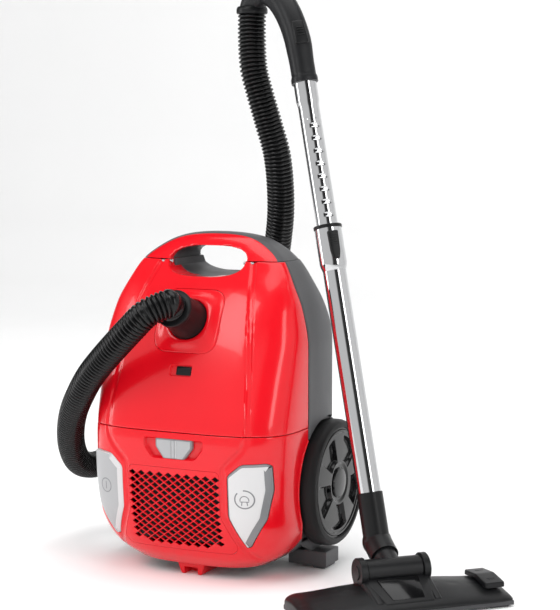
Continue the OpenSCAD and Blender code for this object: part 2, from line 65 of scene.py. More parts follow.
# ---------------------------------------------------------------- materials
class Tree:
    def __init__(self, name):
        self.mat = bpy.data.materials.new(name)
        self.mat.use_nodes = True
        self.nt = self.mat.node_tree
        self.bsdf = self.nt.nodes["Principled BSDF"]
        self.coord = self.nt.nodes.new("ShaderNodeTexCoord").outputs["Object"]

    def node(self, kind, **inputs):
        n = self.nt.nodes.new(kind)
        for k, v in inputs.items():
            key = k.replace("_", " ")
            if isinstance(v, bpy.types.NodeSocket):
                self.nt.links.new(v, n.inputs[key])
            else:
                n.inputs[key].default_value = v
        return n

    def link(self, a, b):
        self.nt.links.new(a, b)

    def noise(self, scale, detail=3.0, rough=0.5, stretch=None):
        src = self.coord
        if stretch:
            m = self.node("ShaderNodeMapping", Vector=src)
            m.inputs["Scale"].default_value = stretch
            src = m.outputs["Vector"]
        return self.node("ShaderNodeTexNoise", Vector=src, Scale=scale, Detail=detail,
            Roughness=rough).outputs["Fac"]

    def remap(self, value, lo, hi, a=0.3, b=0.7):
        m = self.node("ShaderNodeMapRange", Value=value)
        for k, v in (("From Min", a), ("From Max", b), ("To Min", lo), ("To Max", hi)):
            m.inputs[k].default_value = v
        return m.outputs["Result"]

    def tint(self, fac, c1, c2):
        m = self.nt.nodes.new("ShaderNodeMix")
        m.data_type = "RGBA"
        self.link(fac, m.inputs[0])
        m.inputs[6].default_value = (*c1, 1)
        m.inputs[7].default_value = (*c2, 1)
        return m.outputs[2]

    def bump(self, height, strength, distance=0.0002):
        b = self.node("ShaderNodeBump", Height=height, Strength=strength, Distance=distance)
        self.link(b.outputs["Normal"], self.bsdf.inputs["Normal"])


def plastic(name, color, rough, coat=0.0, vary=0.06, grain=900, strength=0.12, spread=0.05, spec=0.5):
    t = Tree(name)
    dark = tuple(c * (1 - vary) for c in color)
    light = tuple(min(1, c * (1 + vary)) for c in color)
    cloud = t.remap(t.noise(9, 4), 0, 1)
    t.link(t.tint(cloud, dark, light), t.bsdf.inputs["Base Color"])
    smear = t.remap(t.noise(26, 5, 0.65, (1, 1, 0.35)), rough - spread, rough + spread)
    t.link(smear, t.bsdf.inputs["Roughness"])
    t.bump(t.noise(grain, 2), strength)
    t.bsdf.inputs["Coat Weight"].default_value = coat
    t.bsdf.inputs["Coat Roughness"].default_value = 0.04
    t.bsdf.inputs["Specular IOR Level"].default_value = spec
    return t.mat


def metal(name, color, rough, grain=500, strength=0.05, stretch=(1, 1, 0.05)):
    t = Tree(name)
    cloud = t.remap(t.noise(14, 3), 0, 1)
    t.link(t.tint(cloud, tuple(c * 0.96 for c in color), color), t.bsdf.inputs["Base Color"])
    t.link(t.remap(t.noise(60, 4, 0.6, stretch), rough * 0.7, rough * 1.4), t.bsdf.inputs["Roughness"])
    t.bsdf.inputs["Metallic"].default_value = 1
    t.bump(t.noise(grain, 2, 0.5, stretch), strength)
    return t.mat


def fibre(name, color, scale, strength=0.6):
    t = Tree(name)
    web = t.node("ShaderNodeTexVoronoi", Vector=t.coord, Scale=scale).outputs["Distance"]
    t.link(t.tint(web, tuple(c * 0.8 for c in color), color), t.bsdf.inputs["Base Color"])
    t.bsdf.inputs["Roughness"].default_value = 0.95
    t.bump(t.noise(scale * 2, 4, 0.7), strength, 0.0006)
    return t.mat


M = {
    "red": plastic("red_gloss", (0.76, 0.004, 0.012), 0.2, coat=0.35, vary=0.03, grain=1400,
    strength=0.015, spread=0.03, spec=0.3),
    # a darker copy of the red for the inside of the shell: painted shade
    "red_shaded": plastic("red_painted_shade_inside", (0.50, 0.004, 0.010), 0.4, vary=0.05, strength=0.05, spec=0.3),
    "grey": plastic("grey_shell", (0.085, 0.086, 0.09), 0.45, vary=0.05, grain=1500, strength=0.2,
    spec=0.25),
    "black": plastic("black_satin", (0.007, 0.0072, 0.0078), 0.36, vary=0.1, grain=1600, strength=0.1,
    spec=0.24),
    "piano": plastic("black_gloss", (0.004, 0.004, 0.0045), 0.14, coat=0.2, vary=0.05, grain=1200,
    strength=0.02, spread=0.03, spec=0.25),
    "nozzle": plastic("nozzle_satin", (0.008, 0.0082, 0.009), 0.38, vary=0.08, grain=1700, strength=0.14,
    spec=0.24),
    "hose": plastic("hose_plastic", (0.004, 0.0041, 0.0044), 0.24, vary=0.12, grain=1100, strength=0.04,
    spec=0.3),
    "grip": plastic("grip_satin", (0.011, 0.0113, 0.0125), 0.40, vary=0.08, grain=1800, strength=0.16,
    spec=0.25),
    "silver": plastic("silver_paint", (0.40, 0.405, 0.415), 0.34, coat=0.1, vary=0.03, grain=2200,
    strength=0.08),
    # the next two are a darker and a lighter copy of the silver paint: a painted shade and a painted
    # highlight
    "silver_shaded": plastic("silver_painted_shade", (0.22, 0.225, 0.235), 0.36, coat=0.1, vary=0.03, grain=2200,
    strength=0.08),
    "silver_lit": plastic("silver_painted_highlight", (0.66, 0.66, 0.665), 0.32, coat=0.1, vary=0.02, grain=2200,
    strength=0.05),
    "print": plastic("print_grey", (0.22, 0.225, 0.235), 0.5, vary=0.04),
    "tyre": plastic("tyre_rubber", (0.009, 0.009, 0.0095), 0.5, vary=0.1, grain=700, strength=0.2,
    spec=0.2),
    "rubber": plastic("black_rubber", (0.03, 0.03, 0.032), 0.7, vary=0.1, grain=600, strength=0.4),
    "pale": plastic("pale_plastic", (0.70, 0.70, 0.67), 0.45, vary=0.04),
    "orange": plastic("orange_flag", (0.80, 0.16, 0.02), 0.4, vary=0.05),
    "inner": plastic("inner_plastic", (0.05, 0.05, 0.054), 0.55, vary=0.08, grain=1200, strength=0.3),
    "chrome": metal("chrome_tube", (0.62, 0.625, 0.635), 0.07),
    "steel": metal("plain_steel", (0.56, 0.56, 0.57), 0.28, strength=0.15),
    "filter": fibre("dark_foam", (0.012, 0.012, 0.012), 900),
    "media": fibre("white_media", (0.80, 0.80, 0.76), 700),
    "bag": fibre("bag_cloth", (0.74, 0.69, 0.58), 420),
    "card": fibre("collar_card", (0.50, 0.37, 0.23), 1100, 0.2),
    "bristle": fibre("bristle_black", (0.02, 0.02, 0.02), 1500),
    "floor": None,
}


def paint(node, mat):
    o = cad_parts[node]
    for s in o.material_slots:
        s.material = M[mat]
    if not o.material_slots:
        o.data.materials.append(M[mat])


# ---------------------------------------------------------------- mesh helpers, in millimetres
def ring_faces(rows, n):
    """The side faces between rows of n points each, round and round."""
    return [(i * n + j, i * n + (j + 1) % n, (i + 1) * n + (j + 1) % n, (i + 1) * n + j)
            for i in range(rows - 1) for j in range(n)]


def prism_faces(n):
    """Both ends and the sides of a block given as a lower and an upper loop of n points."""
    sides = [(i, (i + 1) % n, n + (i + 1) % n, n + i) for i in range(n)]
    return [tuple(range(n - 1, -1, -1)), tuple(range(n, 2 * n))] + sides


def build(name, verts, faces, mat, body, sharp=35, mats=None):
    me = bpy.data.meshes.new(name)
    me.from_pydata([tuple(float(c) * 0.001 for c in v) for v in verts], [],
        [tuple(int(i) for i in f) for f in faces])
    me.validate()
    ob = bpy.data.objects.new(name, me)
    scene.collection.objects.link(ob)
    me.materials.append(M[mat])
    shade(ob, sharp)
    if body:
        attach(ob, body)
    return ob


def shade(ob, sharp):
    me = ob.data
    bm = bmesh.new()
    bm.from_mesh(me)
    bmesh.ops.recalc_face_normals(bm, faces=bm.faces)
    bm.to_mesh(me)
    bm.free()
    me.shade_smooth()
    me.set_sharp_from_angle(angle=math.radians(sharp))


def bake(ob):
    """Replaces an object's mesh with what its modifiers make of it."""
    dg = bpy.context.evaluated_depsgraph_get()
    me = bpy.data.meshes.new_from_object(ob.evaluated_get(dg))
    ob.modifiers.clear()
    old = ob.data
    ob.data = me
    bpy.data.meshes.remove(old)


def modify(ob, kind, **settings):
    m = ob.modifiers.new(kind.lower(), kind)
    for k, v in settings.items():
        setattr(m, k, v)
    return m


def boolean(ob, tools, op="DIFFERENCE", sharp=30):
    for t in tools:
        modify(ob, "BOOLEAN", operation=op, object=t, solver="MANIFOLD")
    bake(ob)
    shade(ob, sharp)
    for t in tools:
        bpy.data.objects.remove(t)
    return ob


def bevel(ob, width, segments=3, angle=30, sharp=45):
    modify(ob, "BEVEL", width=width * 0.001, segments=segments, limit_method="ANGLE",
        angle_limit=math.radians(angle))
    bake(ob)
    shade(ob, sharp)
    return ob


def rounded(poly, r, seg=6):
    """A polygon with its corners rounded by arcs that start r from each corner at most."""
    out, n = [], len(poly)
    for i in range(n):
        a, b, c = (np.array(poly[(i + k) % n], float) for k in (-1, 0, 1))
        d1, d2 = np.linalg.norm(a - b), np.linalg.norm(c - b)
        k = min(r, 0.45 * d1, 0.45 * d2)
        p, q = b + (a - b) * k / d1, b + (c - b) * k / d2
        for j in range(seg + 1):
            t = j / seg
            out.append((1 - t) ** 2 * p + 2 * t * (1 - t) * b + t * t * q)
    return np.array(out)


def bar(x0, x1, z0, z1, r, seg):
    """A rounded rectangle."""
    return rounded([(x0, z1), (x1, z1), (x1, z0), (x0, z0)], r, seg)


def resample(poly, step):
    """Closed polygon with points at most step apart."""
    out = []
    for i in range(len(poly)):
        a, b = np.array(poly[i], float), np.array(poly[(i + 1) % len(poly)], float)
        k = max(1, int(math.ceil(np.linalg.norm(b - a) / step)))
        out += [a + (b - a) * j / k for j in range(k)]
    return np.array(out)


def inset(poly, d):
    """Moves each point of a loop inwards by d, which may be a function of the outward normal."""
    p = np.array(poly, float)
    t = np.roll(p, -1, 0) - np.roll(p, 1, 0)
    t /= np.maximum(np.linalg.norm(t, axis=1), 1e-9)[:, None]
    area = np.sum(p[:, 0] * np.roll(p[:, 1], -1) - np.roll(p[:, 0], -1) * p[:, 1])
    nrm = np.stack([t[:, 1], -t[:, 0]], 1) * np.sign(area)
    k = np.array([d(n) for n in nrm]) if callable(d) else np.full(len(p), d)
    return p - nrm * k[:, None]


def fill(loop, step):
    """Triangles over a loop and the grid points inside it."""
    loop = np.array(loop, float)
    lo, hi = loop.min(0), loop.max(0)
    gx, gz = np.meshgrid(np.arange(lo[0] + step / 2, hi[0], step),
        np.arange(lo[1] + step / 2, hi[1], step))
    pts = np.stack([gx.ravel(), gz.ravel()], 1)
    keep = inside(loop, pts) & (edge_distance(loop, pts) > step * 0.4)
    allp = [Vector(p) for p in loop] + [Vector(p) for p in pts[keep]]
    n = len(loop)
    res = delaunay_2d_cdt(allp, [(i, (i + 1) % n) for i in range(n)], [], 1, 1e-5)
    return np.array([tuple(v) for v in res[0]]), [tuple(f) for f in res[2]]


def inside(loop, pts):
    res = np.zeros(len(pts), bool)
    n = len(loop)
    for i in range(n):
        (x1, y1), (x2, y2) = loop[i], loop[(i + 1) % n]
        c = (y1 > pts[:, 1]) != (y2 > pts[:, 1])
        res ^= c & (pts[:, 0] < (x2 - x1) * (pts[:, 1] - y1) / ((y2 - y1) or 1e-12) + x1)
    return res


def edge_distance(line, pts, closed=True):
    best = np.full(len(pts), 1e9)
    n = len(line)
    for i in range(n if closed else n - 1):
        a, b = np.array(line[i], float), np.array(line[(i + 1) % n], float)
        ab = b - a
        t = np.clip(((pts - a) @ ab) / max(ab @ ab, 1e-12), 0, 1)
        best = np.minimum(best, np.linalg.norm(pts - a - t[:, None] * ab, axis=1))
    return best


def plate(name, outline, rings, mat, body, surf, step=3.5, rim_mat=None, sharp=40):
    """A plate on a surface: rings of (inset, offset) run inwards and the last one is filled."""
    base = resample(outline, step * 0.6)
    verts, faces = [], []
    loops = [(inset(base, i), o) for i, o in rings]
    for loop, o in loops:
        verts += [surf(x, z, o) for x, z in loop]
    n = len(base)
    for k in range(len(loops) - 1):
        for i in range(n):
            j = (i + 1) % n
            faces.append((k * n + i, k * n + j, (k + 1) * n + j, (k + 1) * n + i))
    rim = len(faces)
    pts, tri = fill(loops[-1][0], step)
    k0 = len(verts)
    verts += [surf(x, z, loops[-1][1]) for x, z in pts]
    faces += [tuple(k0 + i for i in f) for f in tri]
    ob = build(name, verts, faces, mat, body, sharp)
    if rim_mat:
        ob.data.materials.append(M[rim_mat])
        for f in list(ob.data.polygons)[:rim]:
            f.material_index = 1
    bm = bmesh.new()
    bm.from_mesh(ob.data)
    bmesh.ops.remove_doubles(bm, verts=bm.verts, dist=1e-5)
    bm.to_mesh(ob.data)
    bm.free()
    shade(ob, sharp)
    return ob


def prism(poly, y0, y1, top=None):
    """A closed prism over a polygon in XZ, from y0 to y1, where it may end in another of as many points."""
    n = len(poly)
    top = poly if top is None else top
    v = [(x, y0, z) for x, z in poly] + [(x, y1, z) for x, z in top]
    f = [tuple(range(n)), tuple(range(2 * n - 1, n - 1, -1))]
    f += [(i, (i + 1) % n, n + (i + 1) % n, n + i) for i in range(n)]
    return build("tool", v, f, "red", None)


def lathe(name, profile, origin, axis, mat, body, seg=64, side=(0, 0, 1), closed=False, sharp=30,
    keep_ends=True):
    """Turns (distance along the axis, radius) points about an axis."""
    a, u, v = frame_of(axis, side)
    o = np.array(origin, float)
    ang = np.linspace(0, 2 * math.pi, seg, endpoint=False)
    verts = [o + s * a + r * (math.cos(t) * u + math.sin(t) * v) for s, r in profile for t in ang]
    faces, m = [], len(profile)
    for k in range(m if closed else m - 1):
        for i in range(seg):
            j, l = (i + 1) % seg, (k + 1) % m
            faces.append((k * seg + i, k * seg + j, l * seg + j, l * seg + i))
    if not closed and keep_ends:
        faces.append(tuple(range(seg - 1, -1, -1)))
        faces.append(tuple((m - 1) * seg + i for i in range(seg)))
    return build(name, verts, faces, mat, body, sharp)


def frame_of(axis, side):
    a = np.array(axis, float)
    a /= np.linalg.norm(a)
    s = np.array(side, float)
    u = s - (s @ a) * a
    u /= np.linalg.norm(u)
    return a, u, np.cross(a, u)


def catmull(points, k):
    p = np.array(points, float)
    out = []
    for i in range(len(p) - 1):
        a, b, c, d = p[max(i - 1, 0)], p[i], p[i + 1], p[min(i + 2, len(p) - 1)]
        for j in range(k):
            t = j / k
            square = (2 * a - 5 * b + 4 * c - d) * t * t
            cubic = (3 * b - a - 3 * c + d) * t ** 3
            out.append(0.5 * (2 * b + (c - a) * t + square + cubic))
    return np.array(out + [p[-1]])


def even(path, step):
    """Points along a path at equal steps, and the path's length."""
    d = np.concatenate([[0], np.cumsum(np.linalg.norm(np.diff(path, axis=0), axis=1))])
    n = max(2, int(round(d[-1] / step)))
    s = np.linspace(0, d[-1], n + 1)
    return np.stack([np.interp(s, d, path[:, i]) for i in range(3)], 1), s


def carried(path, side):
    """Tangents and two carried normals along a path."""
    t = np.gradient(path, axis=0)
    t /= np.linalg.norm(t, axis=1)[:, None]
    u = np.zeros_like(t)
    s = np.array(side, float)
    for i in range(len(path)):
        s = s - (s @ t[i]) * t[i]
        s /= np.linalg.norm(s)
        u[i] = s
    return t, u, np.cross(t, u)


def swept(name, path, section, mat, body, side=(0.2, 0.1, 1), caps=True, sharp=40):
    """Sweeps section(k) -> [(along u, along v)] along a path."""
    t, u, v = carried(path, side)
    verts, faces = [], []
    for k in range(len(path)):
        sec = section(k)
        verts += [path[k] + a * u[k] + b * v[k] for a, b in sec]
    n = len(sec)
    for k in range(len(path) - 1):
        for i in range(n):
            j = (i + 1) % n
            faces.append((k * n + i, k * n + j, (k + 1) * n + j, (k + 1) * n + i))
    if caps:
        faces.append(tuple(range(n - 1, -1, -1)))
        faces.append(tuple((len(path) - 1) * n + i for i in range(n)))
    return build(name, verts, faces, mat, body, sharp)


# ---------------------------------------------------------------- shared places
port = np.array([0, -60, 336.0])
tilt = math.radians(25)
port_out = np.array([0, -math.cos(tilt), math.sin(tilt)])
tube_foot = np.array([239, -25, 126.0])
tube_head = np.array([116, 43, 644.0])
tube_len = np.linalg.norm(tube_head - tube_foot)
tube_up = (tube_head - tube_foot) / tube_len
face_dir = np.array([0.65, -0.76, 0.25])
pivot = np.array([286, -66, 42.0])
yaw = math.radians(46)

# ---------------------------------------------------------------- hose, first of all
start = port + 45.4 * port_out
hose_way = [start, start + 5 * port_out, start + 14 * port_out, (-21, -130, 350),
            (-43, -131, 330), (-67, -126, 309), (-93, -117, 287), (-121, -105, 262), (-149, -87, 233),
            (-177, -62, 203), (-201, -33, 171), (-219, -3, 142), (-230, 27, 118), (-235, 57, 105),
            (-234, 90, 101),
            (-222, 130, 111), (-190, 168, 138), (-142, 188, 180), (-92, 197, 238), (-42, 197, 308),
            (0, 182, 380), (25, 155, 441),
            (36, 137, 490), (40, 118, 545), (33, 105, 590), (26, 95, 627), (19, 89, 663), (16, 89.6, 702),
            (16, 90, 734.6)]
centre = catmull(hose_way, 24)
pitch = 5.4
knots, along = even(centre, pitch / 6)
ridge = [16.3, 17.3, 18.8, 19.0, 18.8, 17.3]
circle = [(math.cos(a), math.sin(a)) for a in np.linspace(0, 2 * math.pi, 32, endpoint=False)]


def rib(k):
    r = ridge[k % 6]
    return [(r * a, r * b) for a, b in circle]


hose = swept("hose_corrugated", knots, rib, "hose", None, sharp=70)
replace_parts(hose, "hose")
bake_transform(hose)


# ---------------------------------------------------------------- the body's outline
def curve(points):
    """A smooth monotone curve through points."""
    x, y = (np.array(c, float) for c in zip(*points))
    h, d = np.diff(x), np.diff(y) / np.diff(x)
    m = np.zeros(len(x))
    m[0], m[-1] = d[0], d[-1]
    for i in range(1, len(x) - 1):
        if d[i - 1] * d[i] > 0:
            w1, w2 = 2 * h[i] + h[i - 1], h[i] + 2 * h[i - 1]
            m[i] = (w1 + w2) / (w1 / d[i - 1] + w2 / d[i])

    def f(q):
        q = np.clip(q, x[0], x[-1])
        i = np.clip(np.searchsorted(x, q) - 1, 0, len(h) - 1)
        t = (q - x[i]) / h[i]
        return ((1 + 2 * t) * (1 - t) ** 2 * y[i] + t * (1 - t) ** 2 * h[i] * m[i]
                + t * t * (3 - 2 * t) * y[i + 1] + t * t * (t - 1) * h[i] * m[i + 1])
    return f


half_w = curve([(15, 91.5), (30, 115.8), (50, 133), (80, 143), (300, 143), (350, 134.4), (380, 121.6),
    (410, 104.4),
                (430, 80), (438, 64), (443, 46), (445.5, 26), (446.4, 8)])
front_d = curve([(15, 62), (33, 80), (60, 93), (100, 102), (180, 105), (200, 103), (240, 93), (300, 74),
    (340, 58),
                 (375, 38), (400, 18), (425, 0), (440, -14), (446.4, -27)])
back_d = curve([(15, 85), (40, 108), (80, 118), (320, 118), (360, 105), (400, 86), (430, 66), (440, 54),
    (446.4, 38)])
mid_y = curve([(15, 0), (360, 0), (400, 6), (445, 32), (447, 33)])
front_n = curve([(15, 3), (180, 3.8), (320, 3.2), (447, 2.4)])


def front_y(x, z):
    n, m = front_n(z), mid_y(z)
    return m - (front_d(z) + m) * np.maximum(1 - np.minimum(abs(x) / half_w(z), 1) ** n, 0) ** (1 / n)


def front(x, z, o):
    """A point on the front skin at x, z, moved out by o."""
    e = 0.5
    y = float(front_y(x, z))
    dx = float(front_y(x + e, z) - front_y(x - e, z)) / (2 * e)
    dz = float(front_y(x, z + e) - front_y(x, z - e)) / (2 * e)
    n = np.array([dx, -1, dz])
    n /= np.linalg.norm(n)
    return np.array([x, y, z]) + o * n


def section(z, back, count):
    s = np.linspace(0, math.pi, 4001)
    n = 5.0 if back else float(front_n(z))
    c, sn = np.cos(s), np.sin(s)
    x = -half_w(z) * np.sign(c) * abs(c) ** (2 / n)
    m = mid_y(z)
    depth = (back_d(z) - m) if back else -(front_d(z) + m)
    y = m + depth * sn ** (2 / n)
    d = np.concatenate([[0], np.cumsum(np.hypot(np.diff(x), np.diff(y)))])
    q = np.linspace(0, d[-1], count)
    return np.stack([np.interp(q, d, x), np.interp(q, d, y), np.full(count, z)], 1)


def smooth_step(t):
    t = np.clip(t, 0, 1)
    return t * t * (3 - 2 * t)


def skin(name, z0, z1, back, mat, body, shape, wall=2.6, step=2.0, count=230, base=0.0, lip=0.9,
    closed_floor=0):
    """A thick smooth shell between two heights, moved out by shape(x, z) and rolled in at its edges."""
    zs = list(np.linspace(z0, z1, int((z1 - z0) / step) + 1))
    zs = sorted(set(zs + [z0 + 0.15, z0 + 0.5, z0 + 1, z1 - 0.15, z1 - 0.5, z1 - 1]))
    g = np.array([section(z, back, count) for z in zs])
    du, dv = np.gradient(g, axis=1), np.gradient(g, axis=0)
    nrm = np.cross(du, dv)
    nrm /= np.maximum(np.linalg.norm(nrm, axis=2), 1e-9)[..., None]
    if nrm[len(zs) // 2, count // 2, 1] * (1 if back else -1) < 0:
        nrm = -nrm
    o = shape(g[..., 0], g[..., 2]) + base
    zz = np.array(zs)[:, None]
    arc = np.arange(count)[None, :] * np.linalg.norm(g[:, 1] - g[:, 0], axis=1)[:, None]
    edge = np.minimum(np.minimum(zz - z0, z1 - zz) + 0 * arc, np.minimum(arc, arc[:, ::-1]))
    r = 1.3
    k = np.clip(1 - edge / r, 0, 1)
    o = o - lip * (1 - np.sqrt(1 - k * k * 0.999))
    outer = g + nrm * o[..., None]
    inner = g - nrm * (wall - base)
    rows = len(zs)
    verts = np.concatenate([outer.reshape(-1, 3), inner.reshape(-1, 3)])
    idx = np.arange(rows * count).reshape(rows, count)
    a, b, c, d = idx[:-1, :-1], idx[:-1, 1:], idx[1:, 1:], idx[1:, :-1]
    faces = np.stack([a, b, c, d], -1).reshape(-1, 4)
    off = rows * count
    ring = list(idx[0, :]) + list(idx[1:, -1]) + list(idx[-1, -2::-1]) + list(idx[-2:0:-1, 0])
    rim = [(ring[i], ring[(i + 1) % len(ring)], ring[(i + 1) % len(ring)] + off, ring[i] + off)
        for i in range(len(ring))]
    ob = build(name, verts, list(map(tuple, faces)) + [tuple(f[::-1] + off) for f in faces] + rim, mat,
        body, 30)
    return ob


groove_line = [(40, 444), (56, 430), (67, 412), (79, 370), (87.5, 327), (94, 285), (98.6, 242),
    (101.6, 205),
               (101, 192), (96, 180), (87.5, 170), (75, 158), (71, 150), (70.6, 121), (71, 94), (91, 49),
               (100, 33)]
groove_pts = catmull([(x, 0, z) for x, z in groove_line], 6)[:, [0, 2]]


def grooves(x, z):
    p = np.stack([abs(x).ravel(), z.ravel()], 1)
    d = edge_distance(groove_pts, p, False).reshape(x.shape)
    return -1.7 * smooth_step((4.6 - d) / 2.6)


hand = [(57 * math.copysign(abs(math.cos(a)) ** 0.72, math.cos(a)),
    408.5 + 20 * math.copysign(abs(math.sin(a)) ** 0.8, math.sin(a)))
        for a in np.linspace(0, 2 * math.pi, 72, endpoint=False)]
panel = rounded([(-66, 150), (66, 150), (66, 92), (84, 50), (76, 40), (-76, 40), (-84, 50), (-66, 92)], 7)
pedal = [(76.5, 146), (95, 161.5), (124, 163), (129.5, 160), (130.5, 128), (123, 90), (100, 52),
    (94, 50), (76.5, 92)]
recess = [(-43.5, 188.5), (44.5, 188.5), (44.5, 177), (32, 161), (-31.5, 161), (-43.5, 177)]
gauge = [(-16, 280.5), (17, 280.5), (17, 265.5), (-16, 265.5)]


def mirror_x(poly):
    return [(-x, z) for x, z in poly][::-1]


def drum(x0, x1, r, y, z, seg=96):
    return lathe("tool", [(x0, r), (x1, r)], (0, y, z), (1, 0, 0), "red", None, seg)


# red lower housing with its grille
low = skin("rear_housing_red", 15, 195.7, False, "red", "canister", grooves)
grille = low.copy()
grille.data = low.data.copy()
grille.name = "exhaust_grille_red"
scene.collection.objects.link(grille)
boolean(low, [prism(rounded(panel, 1), -140, -40), prism(rounded(pedal, 5), -140, -30),
              prism(rounded(mirror_x(pedal), 5), -140, -30), prism(rounded(recess, 5), -140, -60),
              drum(128.5, 200, 89, 60, 115), drum(-200, -128.5, 89, 60, 115)])
cells_v, cells_f = [], []
for i in range(-9, 10):
    for j in range(0, 21):
        cx, cz = i * 6.75, 49.5 + j * 4.75
        if (i + j) % 2 or abs(cx) > 62 - 3 * (cz > 140) or cz > 143.6 or (abs(cx) > 50 and cz < 52):
            continue
        n0 = len(cells_v)
        yy = float(front_y(cx, cz))
        for y, w, h in ((yy - 3, 6.6, 4.65), (yy + 8, 3.9, 2.7)):
            cells_v += [(cx - w, y, cz), (cx, y, cz - h), (cx + w, y, cz), (cx, y, cz + h)]
        cells_f += [tuple(n0 + k for k in f) for f in ((0, 1, 2, 3), (7, 6, 5, 4), (0, 4, 5, 1),
            (1, 5, 6, 2), (2, 6, 7, 3), (3, 7, 4, 0))]
boolean(grille, [prism(inset(rounded(panel, 1), 0.35), -140, -40)], "INTERSECT")
boolean(grille, [build("tool", cells_v, cells_f, "red", None)])
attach(grille, "canister")
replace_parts(low, "rear_housing")
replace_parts(grille, "exhaust_grille")

# red lid
lid = skin("lid_red", 196.5, 410, False, "red", "lid", grooves)
block = rounded([(-46.5, -44), (46.5, -44), (46.5, 44), (-46.5, 44)], 24, 10)
a0, u0, v0 = frame_of(port_out, (1, 0, 0))
v0 = v0 if v0[2] > 0 else -v0
bv = [port + s * a0 + x * u0 + y * v0 for s in (-40, 60) for x, y in block]
nb = len(block)
bf = [tuple(range(nb)), tuple(range(2 * nb - 1, nb - 1, -1))] + [(i, (i + 1) % nb, nb + (i + 1) % nb,
    nb + i) for i in range(nb)]
boolean(lid, [build("tool", bv, bf, "red", None), prism(rounded(gauge, 4), -140, -50),
    prism(hand, -120, 60)])
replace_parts(lid, "lid")

# grey back shell, a smooth cover over the exact one
back = skin("base_shell_grey", 15, 409.9, True, "grey", "canister", lambda x, z: 0 * x, base=0.9)
boolean(back, [drum(128.5, 200, 89, 60, 115), drum(-200, -128.5, 89, 60, 115), prism(hand, -30, 160),
               lathe("tool", [(90, 9.4), (140, 9.4)], (70, 0, 60), (0, 1, 0), "red", None),
               lathe("tool", [(80, 15.5), (140, 15.5)], (0, 0, 365), (0, 1, 0), "red", None)])


# nose with the carry handle: a solid, rounded all over, then split into red and grey
def ring(z):
    f, b = section(z, False, 60), section(z, True, 60)
    return np.concatenate([f, b[-2:0:-1]])


def tower(z0, z1, count):
    zs = np.linspace(0, 1, count)
    zs = z0 + (z1 - z0) * (1 - (1 - zs) ** 1.6)
    rows = [ring(z) for z in zs]
    n = len(rows[0])
    v = np.concatenate(rows)
    f = ring_faces(count, n)
    return build("nose_red", v, f + [tuple(range(n - 1, -1, -1)),
        tuple((count - 1) * n + i for i in range(n))], "red", None)


def slab(z0, z1, y0, y1, lean=0.0):
    """A big block between two planes; its back and front lean with height."""
    v = [(x, y + lean * (z - 410), z) for x in (-200, 200) for y in (y0, y1) for z in (z0, z1)]
    f = [(0, 1, 3, 2), (4, 6, 7, 5), (0, 4, 5, 1), (2, 3, 7, 6), (0, 2, 6, 4), (1, 5, 7, 3)]
    return build("tool", v, f, "red", None)


nose = tower(380, 446.3, 34)
boolean(nose, [prism(hand, -120, 160)])
modify(nose, "REMESH", mode="VOXEL", voxel_size=0.0016)
modify(nose, "SMOOTH", factor=0.5, iterations=9)
bake(nose)
boolean(nose, [slab(410.5, 500, -200, 300)], "INTERSECT", 50)
nose_back = nose.copy()
nose_back.data = nose.data.copy()
nose_back.name = "nose_grey"
scene.collection.objects.link(nose_back)
boolean(nose, [slab(400, 500, -200, 0, 0.62)], "INTERSECT", 50)
boolean(nose_back, [slab(400, 500, 0.4, 300, 0.62)], "INTERSECT", 50)
nose_back.data.materials[0] = M["grey"]
for o in (nose, nose_back):
    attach(o, "canister")
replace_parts(nose, "nose_housing")


# hand hollow below the handle: red in front, grey behind
def tunnel(name, mat, y_from, y_to):
    a = np.linspace(math.pi * 0.985, math.pi * 2.015, 60)
    v, f, rows = [], [], 12
    for t in a:
        c, s = math.cos(t), math.sin(t)
        x = 56.8 * math.copysign(abs(c) ** 0.72, c)
        z = 408.5 + 19.8 * math.copysign(abs(s) ** 0.8, s)
        y0, y1 = y_from(x, z, abs(c)), y_to(x, z, abs(c))
        v += [(x, y0 + (y1 - y0) * k / (rows - 1), z) for k in range(rows)]
    for i in range(len(a) - 1):
        for k in range(rows - 1):
            p = i * rows + k
            f.append((p, p + 1, p + rows + 1, p + rows))
    ob = build(name, v, f, mat, "canister", 40)
    modify(ob, "SOLIDIFY", thickness=0.0012, offset=0)
    bake(ob)
    shade(ob, 40)
    return ob


def back_y(x, z):
    m = mid_y(z)
    return m + (back_d(z) - m) * max(1 - min(abs(x) / float(half_w(z)), 1) ** 5, 0) ** 0.2


tunnel("hand_hollow_red", "red", lambda x, z, c: float(front_y(x, z)) + 1.4, lambda x, z,
    c: 1.5 + 15 * smooth_step(c * 1.3 - 0.3))
tunnel("hand_hollow_grey", "grey", lambda x, z, c: 1.8 + 15 * smooth_step(c * 1.3 - 0.3), lambda x, z,
    c: float(back_y(x, z)) + 0.4)


# port bezel: from a rounded square in the lid to a collar round the hole
def on_lid(u, v):
    """Distance along the port axis where the line at u, v meets the lid."""
    lo, hi = -40.0, 60.0
    for _ in range(40):
        m = (lo + hi) / 2
        p = port + m * a0 + u * u0 + v * v0
        if p[1] < float(front_y(p[0], p[2])):
            hi = m
        else:
            lo = m
    return lo


